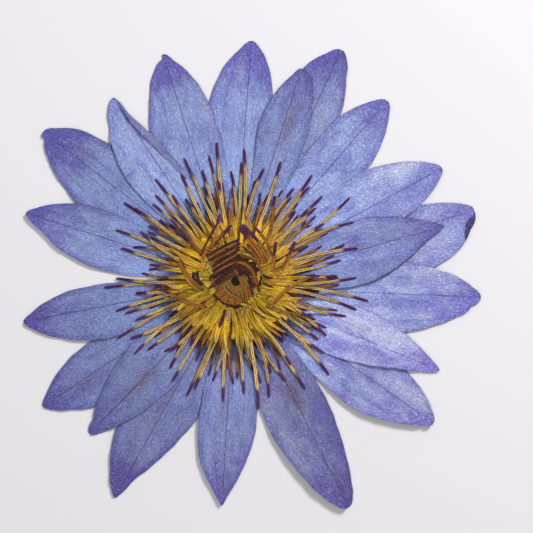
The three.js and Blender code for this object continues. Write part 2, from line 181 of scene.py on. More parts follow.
# Brown stains and dark blotches: node, place, half length, half width, strength.
STAINS = (
    ("petal_16", (20.2, 59), 8, 2.0, 0.75),
    ("petal_10", (22.5, -43), 9, 3.4, 0.8),
    ("petal_12", (-36, -39), 9, 2.4, 0.7),
    ("petal_02", (-56, -38), 4, 1.2, 0.6),
    ("petal_05", (-4.5, -45), 10, 0.9, 0.55),
    ("sepal_03", (-26, -44), 12, 0.9, 0.5),
    ("petal_11", (45, -17), 9, 1.0, 0.5),
    ("sepal_02", (-57, 49), 4, 3.0, 0.3),
    ("petal_13", (-57, 28), 8, 3.0, 0.2),
)
BLOTCHES = (
    ("sepal_02", (-60, 45), 5, 4, 0.9),
    ("sepal_02", (-71, 54), 5, 3, 0.6),
    ("petal_03", (11, 79), 6, 3, 0.8),
    ("petal_15", (45, 16), 3.5, 2.2, 1.0),
    ("petal_15", (33, 15.5), 3, 1.6, 0.7),
    ("petal_15", (58, 8), 14, 2.0, 0.6),
    ("petal_07", (56, 27), 12, 4, 0.7),
    ("petal_07", (76, 38), 5, 4, 0.5),
    ("petal_04", (72, -9), 16, 3.5, 0.8),
    ("petal_04", (91, -6), 5, 5, 0.8),
    ("petal_01", (84, 26), 8, 3, 0.7),
    ("petal_01", (60, 3), 9, 3, 0.5),
    ("petal_11", (48, -28), 18, 2.4, 0.8),
    ("petal_11", (72, -31), 8, 3, 0.7),
    ("sepal_04", (62, -46), 18, 3, 0.5),
    ("petal_10", (40, -62), 22, 3.5, 0.9),
    ("petal_06", (54, 62), 8, 4, 0.7),
    ("sepal_01", (36, 84), 6, 6, 0.8),
    ("petal_08", (-62, -12), 12, 3, 0.5),
    ("petal_12", (-50, -50), 12, 3, 0.5),
    ("petal_02", (-60, -42), 12, 4, 0.5),
)
# Washed-out margins: node, place, half length, half width, strength.
PALE_PATCHES = (
    ("petal_07", (66, 45), 13, 3.6, 1.0),
    ("petal_04", (80, 5), 10, 4, 1.0),
    ("petal_04", (48, -13), 8, 3.5, 0.8),
    ("petal_14", (-30, 52), 18, 3, 0.35),
    ("petal_11", (56, -19), 18, 5, 0.8),
    ("petal_11", (50, -30), 8, 3, 0.8),
    ("sepal_04", (68, -45), 10, 4, 0.9),
    ("petal_01", (66, 14), 12, 6, 0.5),
    ("petal_01", (82, 33), 10, 3, 0.6),
    ("petal_10", (20, -60), 16, 3, 0.5),
    ("sepal_01", (34, 62), 10, 4, 0.4),
    ("petal_09", (-12, 70), 12, 3.5, 0.4),
)
# Nibbles out of the margins: node, side, share of the length, depth, half width in mm.
NIBBLES = (
    ("petal_04", 1, 0.965, 1.1, 0.9),
    ("sepal_04", 1, 0.97, 1.0, 1.0),
    ("petal_09", -1, 0.985, 2.2, 1.0),
    ("sepal_02", -1, 0.975, 1.2, 0.9),
    ("petal_12", 1, 0.93, 0.8, 1.2),
)
SPLIT_TIPS = {"sepal_01": (-0.1, 0.035, 0.16)}  # place across, depth, width across
ROWS = 110
COLUMNS = 36
WAVE_COUNT = 7
STREAK_LENGTH = 3.5


class Pile:
    """Heights and layer counts of what has been laid so far, on a square grid, in millimetres."""

    def __init__(self, half_side=110.0, step=0.5):
        self.half_side = half_side
        self.step = step
        count = int(round(2 * half_side / step)) + 1
        self.height = np.zeros((count, count))
        self.layers = np.zeros((count, count))

    def spread(self, grid, reach):
        """Each cell's highest value within reach, on an eight-sided patch."""
        steps = max(1, int(round(reach / self.step)))
        result = grid
        for axis in (0, 1):
            stack = [np.roll(result, shift, axis) for shift in range(-steps, steps + 1)]
            result = np.maximum.reduce(stack)
        return result

    def soften(self, grid, reach):
        steps = max(1, int(round(reach / self.step)))
        result = grid
        for axis in (0, 1):
            result = sum(np.roll(result, shift, axis) for shift in range(-steps, steps + 1))
            result = result / (2 * steps + 1)
        return result

    def rest_field(self, reach):
        """A smooth surface that lies on the pile."""
        half = reach / 2
        return self.soften(self.soften(self.spread(self.height, reach), half), half)

    def sample(self, grid, x, y):
        column = np.clip((x + self.half_side) / self.step, 0, grid.shape[1] - 1.001)
        row = np.clip((y + self.half_side) / self.step, 0, grid.shape[0] - 1.001)
        c, r = column.astype(int), row.astype(int)
        u, v = column - c, row - r
        lower = grid[r, c] * (1 - u) + grid[r, c + 1] * u
        upper = grid[r + 1, c] * (1 - u) + grid[r + 1, c + 1] * u
        return lower * (1 - v) + upper * v

    def add(self, x, y, z, count_layer=False):
        """Adds a surface given as a grid of points."""
        fine = [refine(refine(values, 0), 1) for values in (x, y, z)]
        column = np.rint((fine[0] + self.half_side) / self.step).astype(int)
        row = np.rint((fine[1] + self.half_side) / self.step).astype(int)
        np.maximum.at(self.height, (row, column), fine[2])
        if count_layer:
            touched = np.zeros(self.layers.shape, dtype=bool)
            touched[row, column] = True
            self.layers[touched] += 1


def refine(values, axis, times=3):
    """Adds points between those of a grid."""
    moved = np.moveaxis(values, axis, 0)
    parts = [moved[:-1] * (1 - k / times) + moved[1:] * (k / times) for k in range(times)]
    joined = np.concatenate([np.stack(parts, 1).reshape(-1, *moved.shape[1:]), moved[-1:]])
    return np.moveaxis(joined, 0, axis)


pile = Pile()


def pressed(z):
    """Height after pressing: the higher layers are squeezed the most, and none changes its order."""
    return PRESS_HEIGHT * (1 - np.exp(-z / PRESS_HEIGHT))


def smooth_step(value, low=0.0, high=1.0):
    u = np.clip((value - low) / (high - low), 0, 1)
    return u * u * (3 - 2 * u)


def side_width(widths, t, point):
    """Width of a petal's side along its length, on a smooth curve through the stations."""
    stations = np.array([0, 0.12, *WIDTH_STATIONS, 1.0])
    values = np.array([ROOT_HALF_WIDTH, 0.6 * widths[0], *widths, 0.0])
    slopes = np.gradient(values, stations)
    k = np.clip(np.searchsorted(stations, t, side="right") - 1, 0, len(stations) - 2)
    span = stations[k + 1] - stations[k]
    u = (t - stations[k]) / span
    curve = ((2 * u**3 - 3 * u**2 + 1) * values[k] + (u**3 - 2 * u**2 + u) * span * slopes[k]
             + (3 * u**2 - 2 * u**3) * values[k + 1] + (u**3 - u**2) * span * slopes[k + 1])
    end = widths[-1] * np.clip((1 - t) / (1 - stations[-2]), 0, 1) ** point
    return np.where(t > stations[-2], end, curve)


class Shape:
    """Collects closed islands of points, faces and point values, and makes one mesh of them."""

    def __init__(self, value_names):
        self.points = []
        self.faces = []
        self.looks = []
        self.values = {name: [] for name in value_names}
        self.count = 0

    def add_points(self, points, **values):
        points = np.asarray(points, dtype=float).reshape(-1, 3)
        for name, store in self.values.items():
            store.append(np.asarray(values[name], dtype=float).reshape(-1, 3))
        self.points.append(points)
        first = self.count
        self.count += len(points)
        return first

    def add_faces(self, faces, look=0):
        self.faces.extend(faces)
        self.looks.extend([look] * len(faces))

    def add_sheet(self, top, bottom, **values):
        """A thin closed sheet between two grids of points."""
        rows, columns = top.shape[:2]
        upper = self.add_points(top, **values)
        lower = self.add_points(bottom, **values)
        index = np.arange(rows * columns).reshape(rows, columns)
        corners = [index[:-1, :-1], index[:-1, 1:], index[1:, 1:], index[1:, :-1]]
        quads = np.stack([c.ravel() for c in corners], 1)
        self.add_faces((quads + upper).tolist())
        self.add_faces((quads[:, ::-1] + lower).tolist(), 1)
        rim = np.concatenate([index[0, :-1], index[:-1, -1], index[-1, :0:-1], index[:0:-1, 0]])
        following = np.roll(rim, -1)
        walls = np.stack([rim + lower, following + lower, following + upper, rim + upper], 1)
        self.add_faces(walls.tolist())

    def add_tube(self, rings, **values):
        """A closed body through rings of points, capped at both ends."""
        rows, around = rings.shape[:2]
        first = self.add_points(rings, **values)
        index = np.arange(rows * around).reshape(rows, around) + first
        after = np.roll(index, -1, 1)
        quads = np.stack([index[:-1].ravel(), after[:-1].ravel(), after[1:].ravel(), index[1:].ravel()], 1)
        self.add_faces(quads.tolist())
        self.add_faces([index[0, ::-1].tolist(), index[-1].tolist()])

    def make(self, name, node, slot, materials):
        """Makes the object, which stands for a frame node and rides on the flower."""
        mesh = bpy.data.meshes.new(name)
        points = np.concatenate(self.points)
        points[:, 2] = pressed(points[:, 2])
        mesh.from_pydata((points * MM).tolist(), [], self.faces)
        for value_name, store in self.values.items():
            attribute = mesh.attributes.new(value_name, "FLOAT_VECTOR", "POINT")
            attribute.data.foreach_set("vector", np.concatenate(store).ravel())
        for material in materials:
            mesh.materials.append(material)
        mesh.polygons.foreach_set("material_index", [min(k, len(materials) - 1) for k in self.looks])
        mesh.shade_smooth()
        mesh.set_sharp_from_angle(angle=math.radians(60))
        mesh.update()
        piece = bpy.data.objects.new(name, mesh)
        bpy.context.scene.collection.objects.link(piece)
        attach(piece, "root")
        if node:
            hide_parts(node)
        return piece


def patch(direction, x, y, entry):
    """How strongly a stain, blotch or pale patch covers each point."""
    _, centre, half_length, half_width, strength = entry
    along = (x - centre[0]) * direction[0] + (y - centre[1]) * direction[1]
    across = -(x - centre[0]) * direction[1] + (y - centre[1]) * direction[0]
    return strength * np.exp(-(along / half_length) ** 2 - (across / half_width) ** 2)


def covered(entries, petal, direction, x, y):
    cover = np.zeros_like(x)
    for entry in entries:
        if entry[0] == petal.node:
            cover = np.maximum(cover, patch(direction, x, y, entry))
    return cover


def lay_petal(petal, order, sizes, materials):
    """Lays one petal over the pile and makes its mesh."""
    random = np.random.default_rng(100 + order)
    bearing = math.radians(petal.bearing)
    root = ROOT_RADIUS * np.array([math.cos(bearing), math.sin(bearing)])
    tip = np.array(petal.tip)
    length = np.linalg.norm(tip - root)
    direction = (tip - root) / length
    aside = np.array([-direction[1], direction[0]])
    spaced = np.linspace(0, 1, ROWS)
    along_share = 0.9996 * (1 - (1 - spaced) ** 1.35)
    t, s = np.meshgrid(along_share, np.linspace(-1, 1, COLUMNS), indexing="ij")
    midrib = petal.bow * np.sin(np.pi * t)
    left = side_width(petal.left, t, petal.point) - midrib
    right = side_width(petal.right, t, petal.point) + midrib
    side = np.maximum(np.where(s < 0, left, right), 0.02)
    for node, which, share, depth, half_width in NIBBLES:
        if node == petal.node:
            bite = depth * np.exp(-((t - share) * length / half_width) ** 2)
            side = np.where(np.sign(s) == which, np.maximum(side - bite, 0.3), side)
    margin_wave = sum(
        random.uniform(0.05, 0.16) / (k * 0.5 + 1)
        * np.sin(2 * np.pi * (t * k * 2.3 + random.uniform(0, 1)) + (s > 0) * random.uniform(0, 6))
        for k in range(1, WAVE_COUNT))
    side = side + margin_wave * smooth_step(t, 0.25, 0.5) * smooth_step(1 - t, 0, 0.12)
    offset = midrib - s * side
    reach_share = t
    if petal.node in SPLIT_TIPS:
        place, depth, width = SPLIT_TIPS[petal.node]
        cut = depth * np.exp(-((s - place) / width) ** 2)
        reach_share = t * (1 - cut * smooth_step(t, 0.88, 1.0))
    x = root[0] + direction[0] * length * reach_share + aside[0] * offset
    y = root[1] + direction[1] * length * reach_share + aside[1] * offset

    reach = sizes.petal_reach / MM
    rest = pile.sample(pile.rest_field(reach), x, y)
    rest = np.where(rest > 0.01, rest + sizes.petal_gap / MM, rest)
    thickness = sizes.petal_thickness / MM
    edge = np.minimum((1 - np.abs(s)) * side, (1 - t) * length * 0.6)
    lift_here = np.where(s < 0, petal.lift[0], petal.lift[1])
    lift = lift_here * np.abs(s) ** 2.2 * smooth_step(t, 0.35, 0.8)
    ripple = sum(
        np.sin(2 * np.pi * (t * length / size + random.uniform(0, 1)) + s * random.uniform(-5, 5))
        for size in (23.0, 13.0, 8.0))
    ripple = 0.07 * (ripple + 3) * smooth_step(t, 0.2, 0.6) * (0.25 + np.abs(s) ** 2)
    groove = 0.12 * np.exp(-((s * side) / 0.5) ** 2)
    crinkle_size = sizes.crinkle / MM
    crinkle = np.zeros_like(t)
    for _ in range(26):
        angle = random.normal(0, 0.5) + (0.6 if random.random() < 0.5 else -0.6)
        wave = random.uniform(1.6, 4.2)
        phase = (t * length * math.sin(angle) + offset * math.cos(angle)) / wave
        crinkle = crinkle + np.sin(2 * np.pi * (phase + random.uniform(0, 1)))
    crinkle = crinkle_size * (0.5 + 0.2 * crinkle) * smooth_step(t, 0.1, 0.35)
    low = rest + lift + ripple
    z = low + np.maximum(crinkle - groove, 0) + thickness
    # Count of petals beneath each point; the material darkens by it as painted shade where petals lie on
    # each other.
    below = pile.sample(pile.soften(pile.layers, 0.5), x, y)
    pile.add(x, y, z, count_layer=True)

    top = np.stack([x, y, z], -1)
    bottom = np.stack([x, y, z - thickness], -1)
    if rest.max() < 0.01:
        bottom[..., 2] = np.maximum(bottom[..., 2], 0)
    values = {
        "place": np.stack([offset, t * length, np.full_like(t, order * 37.0)], -1),
        "form": np.stack([s, t, edge], -1),
        "tone": np.stack([np.full_like(t, petal.light), np.full_like(t, petal.violet), below], -1),
        "temper": np.stack([np.full_like(t, petal.deep), np.full_like(t, petal.wash),
                            np.full_like(t, petal.rib)], -1),
        "marks": np.stack([covered(STAINS, petal, direction, x, y),
                           covered(BLOTCHES, petal, direction, x, y),
                           covered(PALE_PATCHES, petal, direction, x, y)], -1),
    }
    shape = Shape(("place", "form", "tone", "temper", "marks"))
    shape.add_sheet(top, bottom, **values)
    if petal.node in MARGIN_FOLDS:
        add_margin_fold(shape, top, values, MARGIN_FOLDS[petal.node])
    slot = petal.node.split("_")[0]
    shape.make("lily_" + petal.node, petal.node, slot, materials)


# Right margins that are folded over: first and last share of the length, widest width, how light
# they are and how violet.
MARGIN_FOLDS = {
    "petal_14": (0.42, 0.97, 2.6, 0.92, 0.5),
    "petal_15": (0.25, 0.985, 0.5, 0.5, 0.5),
    "petal_01": (0.92, 0.9995, 3.6, 0.36, 2.6),
}
RIGHT_MARGIN = -1  # its column in a petal's grid
INSIDE_MARGIN = -7  # the column that the fold points at
FOLD_SIDES = 12


def add_margin_fold(shape, top, values, fold):
    """A flattened roll of skin along the right margin."""
    start, stop, widest, light, violet = fold
    share = values["form"][:, RIGHT_MARGIN, 1]
    rows = np.flatnonzero((share >= start) & (share <= stop))
    edge = top[rows, RIGHT_MARGIN]
    inward = top[rows, INSIDE_MARGIN] - edge
    inward = inward / np.linalg.norm(inward[:, :2], axis=1, keepdims=True)
    u = np.linspace(0, 1, len(rows))
    width = np.maximum(widest * np.sin(np.pi * u ** 0.8) ** 0.6, 0.12)
    rings = []
    around = np.linspace(0, 2 * np.pi, FOLD_SIDES + 1)[:-1]
    for angle in around:
        sideways = 0.5 * width * (1 - np.cos(angle)) - 0.1
        height = 0.12 + 0.16 * np.sin(angle) * np.minimum(1, width)
        point = edge + inward * sideways[:, None]
        point[:, 2] = edge[:, 2] + height + 0.12 * sideways / np.maximum(width, 0.2)
        rings.append(point)
    rings = np.stack(rings, 1)
    picked = {name: np.repeat(grid[rows, RIGHT_MARGIN][:, None], FOLD_SIDES, 1)
              for name, grid in values.items()}
    picked["place"][..., 0] += 0.5 * width[:, None] * (1 - np.cos(around))[None, :]
    # The raised layer count gives the fold the painted shade of stacked petals.
    picked["tone"] = picked["tone"] * np.array([light, 1.0, 1.0]) + np.array([0, violet, 0.6])
    shape.add_tube(rings[:, ::-1], **picked)
    pile.add(rings[..., 0], rings[..., 1], rings[..., 2])


# ---------------------------------------------------------------- stamens

# path is three points from the root to the tip, base_width the width of the flat filament, tip the
# length of the dark tip, kind how orange-brown the stamen is and dusk how faded.
Stamen = namedtuple("Stamen", "path width base_width tip kind dusk")

OUTER_TIPS = (
    (-45.5, 19.5), (-43.5, 12.5), (-42.5, 30), (-38.5, 28), (-36, 19), (-33.5, 19), (-31.5, 29.5),
    (-30.5, 33), (-30.5, 39), (-24, 33), (-20.5, 41), (-19.5, 47), (-19, 31.5), (-12.5, 42.5),
    (-12.5, 36), (-10, 48), (-7, 53), (-6.5, 38.5), (-1.5, 42), (2.5, 45.5), (3.5, 50.5), (8.5, 39),
    (11, 43), (17.5, 45.5), (15.5, 32.5), (22.5, 35.5), (29.5, 40.5), (28.5, 36), (33.5, 32.5),
    (44, 32), (23, 27), (28, 27.5), (31, 28), (40, 21.5), (45.5, 22.5), (34, 22), (42, 14), (47, 12.5),
    (40.5, 8), (39, 2), (46.5, 1.3), (51, -7.7), (46.5, -11), (42.5, -13.5), (29, -14), (33, -19),
    (35, -21), (32, -22.5), (34, -27.5), (36, -36), (27, -41.5), (21.5, -32), (19.5, -38.5), (14, -35),
    (13, -44.5), (10, -39), (9, -49), (3.5, -43), (-4.5, -46), (-8.5, -38.5), (-15.5, -41.5),
    (-18.5, -44), (-24, -38.5), (-25, -33.5), (-24.5, -26.5), (-33.5, -26.5), (-38.5, -28), (-40, -22),
    (-45, -22), (-38, -15), (-42, -12.5), (-45.5, -11.5), (-38, -4.5), (-50, -2.5), (-45.5, 1),
)
INNER_PATHS = (
    ((-11.8, -9.9), (-20, -7), (-28.4, -2.8)),
    ((14, -9), (23, -1), (32.6, 2)),
    ((13.2, 15.5), (14.5, 24), (14.9, 32.5)),
    ((14.5, 3.4), (14.9, 9), (15.7, 15)),
    ((16, 2), (19.4, 6.3), (23.1, 15)),
    ((-11, 8.5), (-18, 16.5), (-24.7, 23.7)),
    ((-13, -2.8), (-16.8, -0.4), (-20.9, 8.4)),
    ((-8, 13), (-7, 19), (-5.6, 25.7)),
    ((-3.1, -10.8), (-4.4, -14), (-6, -17.4)),
    ((12, -9), (19.4, -12), (29.4, -12.8)),
    ((-1, 17), (-1, 28), (-1, 36)),
)
OUTER_BUNDLES = 18
INNER_BUNDLES = 12
BETWEEN_COUNT = 108
SHORT_COUNT = 96
STAMEN_ROWS = 24
STAMEN_COLUMNS = 9
STAMEN_VALUES = ("place", "form", "zone", "temper")


def bend(path, rows):
    """Points along a smooth curve through a path's three points."""
    first, middle, last = (np.array(p, dtype=float) for p in path)
    control = 2 * middle - 0.5 * (first + last)
    u = np.linspace(0, 1, rows)[:, None]
    return (1 - u) ** 2 * first + 2 * u * (1 - u) * control + u**2 * last


def lay_stamen(stamen, random, reach=0.8, lift=0.0, flat_radius=24.0):
    """Lays one stamen on the pile: a flat filament, then two pollen ridges and a dark tip."""
    points = bend(stamen.path, STAMEN_ROWS)
    steps = np.linalg.norm(np.diff(points, axis=0), axis=1)
    along = np.concatenate([[0], np.cumsum(steps)])
    length = along[-1]
    from_tip = length - along
    tangent = np.gradient(points, axis=0)
    tangent = tangent / np.linalg.norm(tangent, axis=1, keepdims=True)
    aside = np.stack([-tangent[:, 1], tangent[:, 0]], 1)
    u = along / length
    tip_share = smooth_step(stamen.tip + 0.4 - from_tip, 0, 0.8)
    flat_share = 1 - smooth_step(np.hypot(points[:, 0], points[:, 1]), flat_radius - 5, flat_radius + 5)
    half = 0.5 * (stamen.width + (stamen.base_width - stamen.width) * flat_share)
    half = half * (1 - 0.12 * tip_share) * smooth_step(from_tip, -0.9, 1.3) ** 0.5
    half = np.maximum(half, 0.12)
    rest = pile.sample(pile.rest_field(reach), points[:, 0], points[:, 1])
    for _ in range(2):
        padded = np.pad(rest, 2, mode="edge")
        rest = np.maximum(rest, sum(padded[k:k + len(rest)] for k in range(5)) / 5)
    rest = rest + 0.04 + lift * np.sin(np.pi * u)
    height = (0.26 + 0.16 * (1 - flat_share)) * np.minimum(1, half / 0.4)
    s = np.linspace(-1, 1, STAMEN_COLUMNS)
    dome = np.sqrt(np.clip(1 - 0.96 * s**2, 0, 1))[None, :]
    ridges = np.sqrt(np.clip(1 - ((np.abs(s) - 0.5) / 0.52) ** 2, 0, 1))[None, :] * 0.9 + 0.1
    ridged = ((1 - flat_share) * (1 - tip_share))[:, None]
    profile = dome * (1 - ridged) + ridges * ridged
    sway = points[:, None, :] + aside[:, None, :] * (half[:, None] * s[None, :])[..., None]
    roof = rest[:, None] + 0.05 + height[:, None] * profile
    top = np.concatenate([sway, roof[..., None]], 2)
    under = np.concatenate([sway, (rest[:, None] + 0 * s[None, :])[..., None]], 2)
    rings = np.concatenate([top, under[:, ::-1]], 1)
    around = np.concatenate([s, s[::-1]])
    grid = np.ones((STAMEN_ROWS, len(around)))
    values = {
        "place": np.stack([grid * around * half[:, None], grid * from_tip[:, None],
                           grid * random.uniform(0, 100)], -1),
        "form": np.stack([grid * around, grid * u[:, None], grid * stamen.kind], -1),
        "zone": np.stack([grid * tip_share[:, None], grid * flat_share[:, None],
                          grid * random.uniform(0.8, 1.15)], -1),
        "temper": np.stack([grid * stamen.dusk, grid * points[:, 0][:, None],
                            grid * points[:, 1][:, None]], -1),
    }
    pile.add(top[..., 0], top[..., 1], top[..., 2])
    return rings[:, ::-1], values


def bearing_of(point):
    return math.atan2(point[1], point[0]) % (2 * math.pi)


def radial_path(bearing, radius, base_radius, random, stray=0.05):
    """A nearly straight path from the disc out to a tip."""
    base_bearing = bearing + random.normal(0, stray)
    middle_bearing = (bearing + base_bearing) / 2 + random.normal(0, stray / 2)
    base = (base_radius * math.cos(base_bearing), base_radius * math.sin(base_bearing))
    middle_radius = (radius + base_radius) / 2
    middle = (middle_radius * math.cos(middle_bearing), middle_radius * math.sin(middle_bearing))
    return base, middle, (radius * math.cos(bearing), radius * math.sin(bearing))


def outer_stamens(sizes, random):
    """The long outer stamens, and shorter ones in the gaps under them."""
    made = []
    for index in range(BETWEEN_COUNT):
        bearing = 2 * math.pi * (index + random.uniform(0.1, 0.9)) / BETWEEN_COUNT
        radius = random.uniform(27, 41)
        made.append(Stamen(
            radial_path(bearing, radius, random.uniform(9.5, 12), random, 0.07),
            random.uniform(0.85, 1.15), random.uniform(1.4, 2.0), random.uniform(2.5, 5),
            random.uniform(0.3, 1.1), random.uniform(0.05, 0.5)))
    for tip in OUTER_TIPS:
        radius = math.hypot(*tip)
        long_share = float(np.clip((radius - 36) / 14, 0, 1))
        path = radial_path(bearing_of(tip), radius, random.uniform(9.5, 12), random)
        made.append(Stamen(
            (path[0], path[1], tip),
            sizes.stamen_width / MM * random.uniform(0.88, 1.1),
            sizes.filament_width / MM * random.uniform(0.85, 1.25),
            sizes.stamen_tip / MM * (0.62 + 0.4 * long_share) * random.uniform(0.9, 1.15),
            random.uniform(0, 0.3) if radius > 37 else random.uniform(0.2, 0.7),
            random.uniform(0, 0.15)))
    return made


def inner_stamens(random):
    """The shorter orange-brown stamens, most of them straight and some bent over the others."""
    made = []
    for index in range(SHORT_COUNT):
        bearing = 2 * math.pi * (index + random.uniform(0.1, 0.9)) / SHORT_COUNT
        radius = random.uniform(18.5, 30)
        made.append(Stamen(
            radial_path(bearing, radius, random.uniform(9.5, 11), random, 0.09),
            random.uniform(0.4, 0.65), random.uniform(1.4, 2.4), -1.0,
            random.uniform(0.0, 1.0), random.uniform(0, 0.35)))
    for path in INNER_PATHS:
        made.append(Stamen(path, 1.05, 1.6, 4.0, 1.0, 0.4))
    return made


def make_bundles(prefix, slot, stamens, bundles, random, lift):
    """Lays the stamens and shares them among the frame's bundles by bearing."""
    material = bpy.data.materials["lily_stamen"]
    shapes = [Shape(STAMEN_VALUES) for _ in range(bundles)]
    for stamen in stamens:
        rings, values = lay_stamen(stamen, random, lift=lift)
        share = bearing_of(stamen.path[2]) / (2 * math.pi)
        shapes[int(share * bundles + 0.5) % bundles].add_tube(rings, **values)
    for index, shape in enumerate(shapes):
        node = f"{prefix}_{index + 1:02d}"
        shape.make("lily_" + node, node, slot, [material])


# ---------------------------------------------------------------- centre

DISC_RINGS = 30
DISC_SPOKES = 112
DISC_RIBS = 18
PIT_CENTRE = (0.4, 0.0)


def lay_disc(sizes, material):
    """The stigma disc: a ribbed shallow bowl with a raised rim and a pit in the middle."""
    radius = sizes.disc_radius / MM
    r_share, angle = np.meshgrid(np.linspace(0.004, 1, DISC_RINGS),
                                 np.linspace(0, 2 * np.pi, DISC_SPOKES + 1)[:-1], indexing="ij")
    scallop = 1 + 0.05 * np.abs(np.sin(angle * DISC_RIBS / 2)) * smooth_step(r_share, 0.8, 1)
    shift = 1 - smooth_step(r_share, 0.3, 1)
    x = radius * r_share * scallop * np.cos(angle) + PIT_CENTRE[0] * shift
    y = radius * r_share * scallop * np.sin(angle) + PIT_CENTRE[1] * shift
    base = float(np.median(pile.sample(pile.rest_field(2.0), x, y)[-1])) * 0.75
    rib = np.cos(angle * DISC_RIBS) * 0.14 * smooth_step(r_share, 0.15, 0.5)
    knob = 0.5 * np.exp(-((r_share * radius - 2.1) / 0.5) ** 2)
    pit = -1.6 * np.exp(-(r_share * radius / 1.8) ** 4)
    rim = 0.7 * np.exp(-((r_share - 0.95) / 0.05) ** 2)
    z = base + 0.5 + 0.6 * r_share**2 + rib + knob + pit + rim
    shape = Shape(STAMEN_VALUES)
    values = {
        "place": np.stack([x, y, 0 * x], -1),
        "form": np.stack([r_share, angle, rib], -1),
        "zone": np.stack([r_share * 0, r_share * 0, r_share * 0 + 1], -1),
        "temper": np.stack([r_share * 0, x, y], -1),
    }
    underside = np.stack([x, y, z - 0.6], -1)
    top = np.stack([x, y, z], -1)
    shape.add_tube(np.concatenate([top, underside[::-1]], 0), **{
        name: np.concatenate([grid, grid[::-1]], 0) for name, grid in values.items()})
    pile.add(x, y, z)
    shape.make("lily_stigma_disc", "stigma_disc", "stigma", [material])


# Crumpled carpel tips: place, half length, half width, bearing of the length in degrees.
CARPEL_TIPS = (
    ((-11.8, 5.6), 2.6, 1.6, 70), ((-12.2, 2.6), 2.6, 1.7, 95), ((-10.8, 0.2), 2.2, 1.6, 110),
    ((-9.6, 3.6), 2.2, 1.3, 80), ((-10.6, 7.6), 2.1, 1.4, 40), ((-8.4, -3.6), 1.4, 1.0, 60),
    ((7.6, -3.6), 1.5, 1.0, -60), ((8.4, -5.6), 1.6, 1.2, -70), ((6.4, -7.6), 1.8, 1.3, -40),
    ((4.2, -9.6), 1.9, 1.2, -20), ((1.8, -11.2), 1.4, 0.8, 0), ((8.7, 0.6), 1.4, 0.9, 80),
    ((9.6, 3.2), 1.5, 0.9, 70), ((9.4, 6.2), 1.4, 1.0, 60), ((6.6, 8.2), 1.4, 0.9, 40),
    ((4.0, 9.8), 1.4, 0.9, 30), ((3.4, 12.6), 1.3, 0.9, 60),
)


def add_lump(shape, centre, half_length, half_width, bearing, random):
    """A crumpled flattened lump of tissue that lies on the pile."""
    rows, columns = 18, 24
    polar = np.linspace(0.03, np.pi - 0.03, rows)
    around = np.linspace(0, 2 * np.pi, columns + 1)[:-1]
    polar, around = np.meshgrid(polar, around, indexing="ij")
    unit = np.stack([np.cos(polar), np.sin(polar) * np.cos(around), np.sin(polar) * np.sin(around)], -1)
    bumps = np.zeros_like(polar)
    for _ in range(12):
        direction = random.normal(0, 1, 3) * 2.6
        bumps = bumps + np.sin(unit @ direction + random.uniform(0, 6))
    swell = 1 + 0.07 * bumps
    along, across, up = (unit * swell[..., None]).transpose(2, 0, 1)
    turn = math.radians(bearing)
    x = centre[0] + along * half_length * math.cos(turn) - across * half_width * math.sin(turn)
    y = centre[1] + along * half_length * math.sin(turn) + across * half_width * math.cos(turn)
    rest = float(np.mean(pile.sample(pile.rest_field(0.8), x, y)))
    z = rest - 0.1 + 0.5 * up + 0.12 * np.sin(4 * along + 5 * across + random.uniform(0, 6))
    grid = np.ones_like(x)
    values = {
        "place": np.stack([x, y, grid * random.uniform(0, 50)], -1),
        "form": np.stack([np.abs(across), 0.5 + 0.5 * along, bumps], -1),
        "zone": np.stack([grid * 0, grid * 0, grid * random.uniform(0.8, 1.1)], -1),
        "temper": np.stack([grid * 0, x, y], -1),
    }
    shape.add_tube(np.stack([x, y, z], -1), **values)
    pile.add(x, y, z)


def lay_carpel_tips(random, material):
    """The crumpled tips of the carpels round the disc's rim."""
    shape = Shape(STAMEN_VALUES)
    for centre, half_length, half_width, bearing in CARPEL_TIPS:
        add_lump(shape, centre, half_length, half_width, bearing, random)
    shape.make("lily_carpel_ring", "carpel_ring", "carpel", [material])


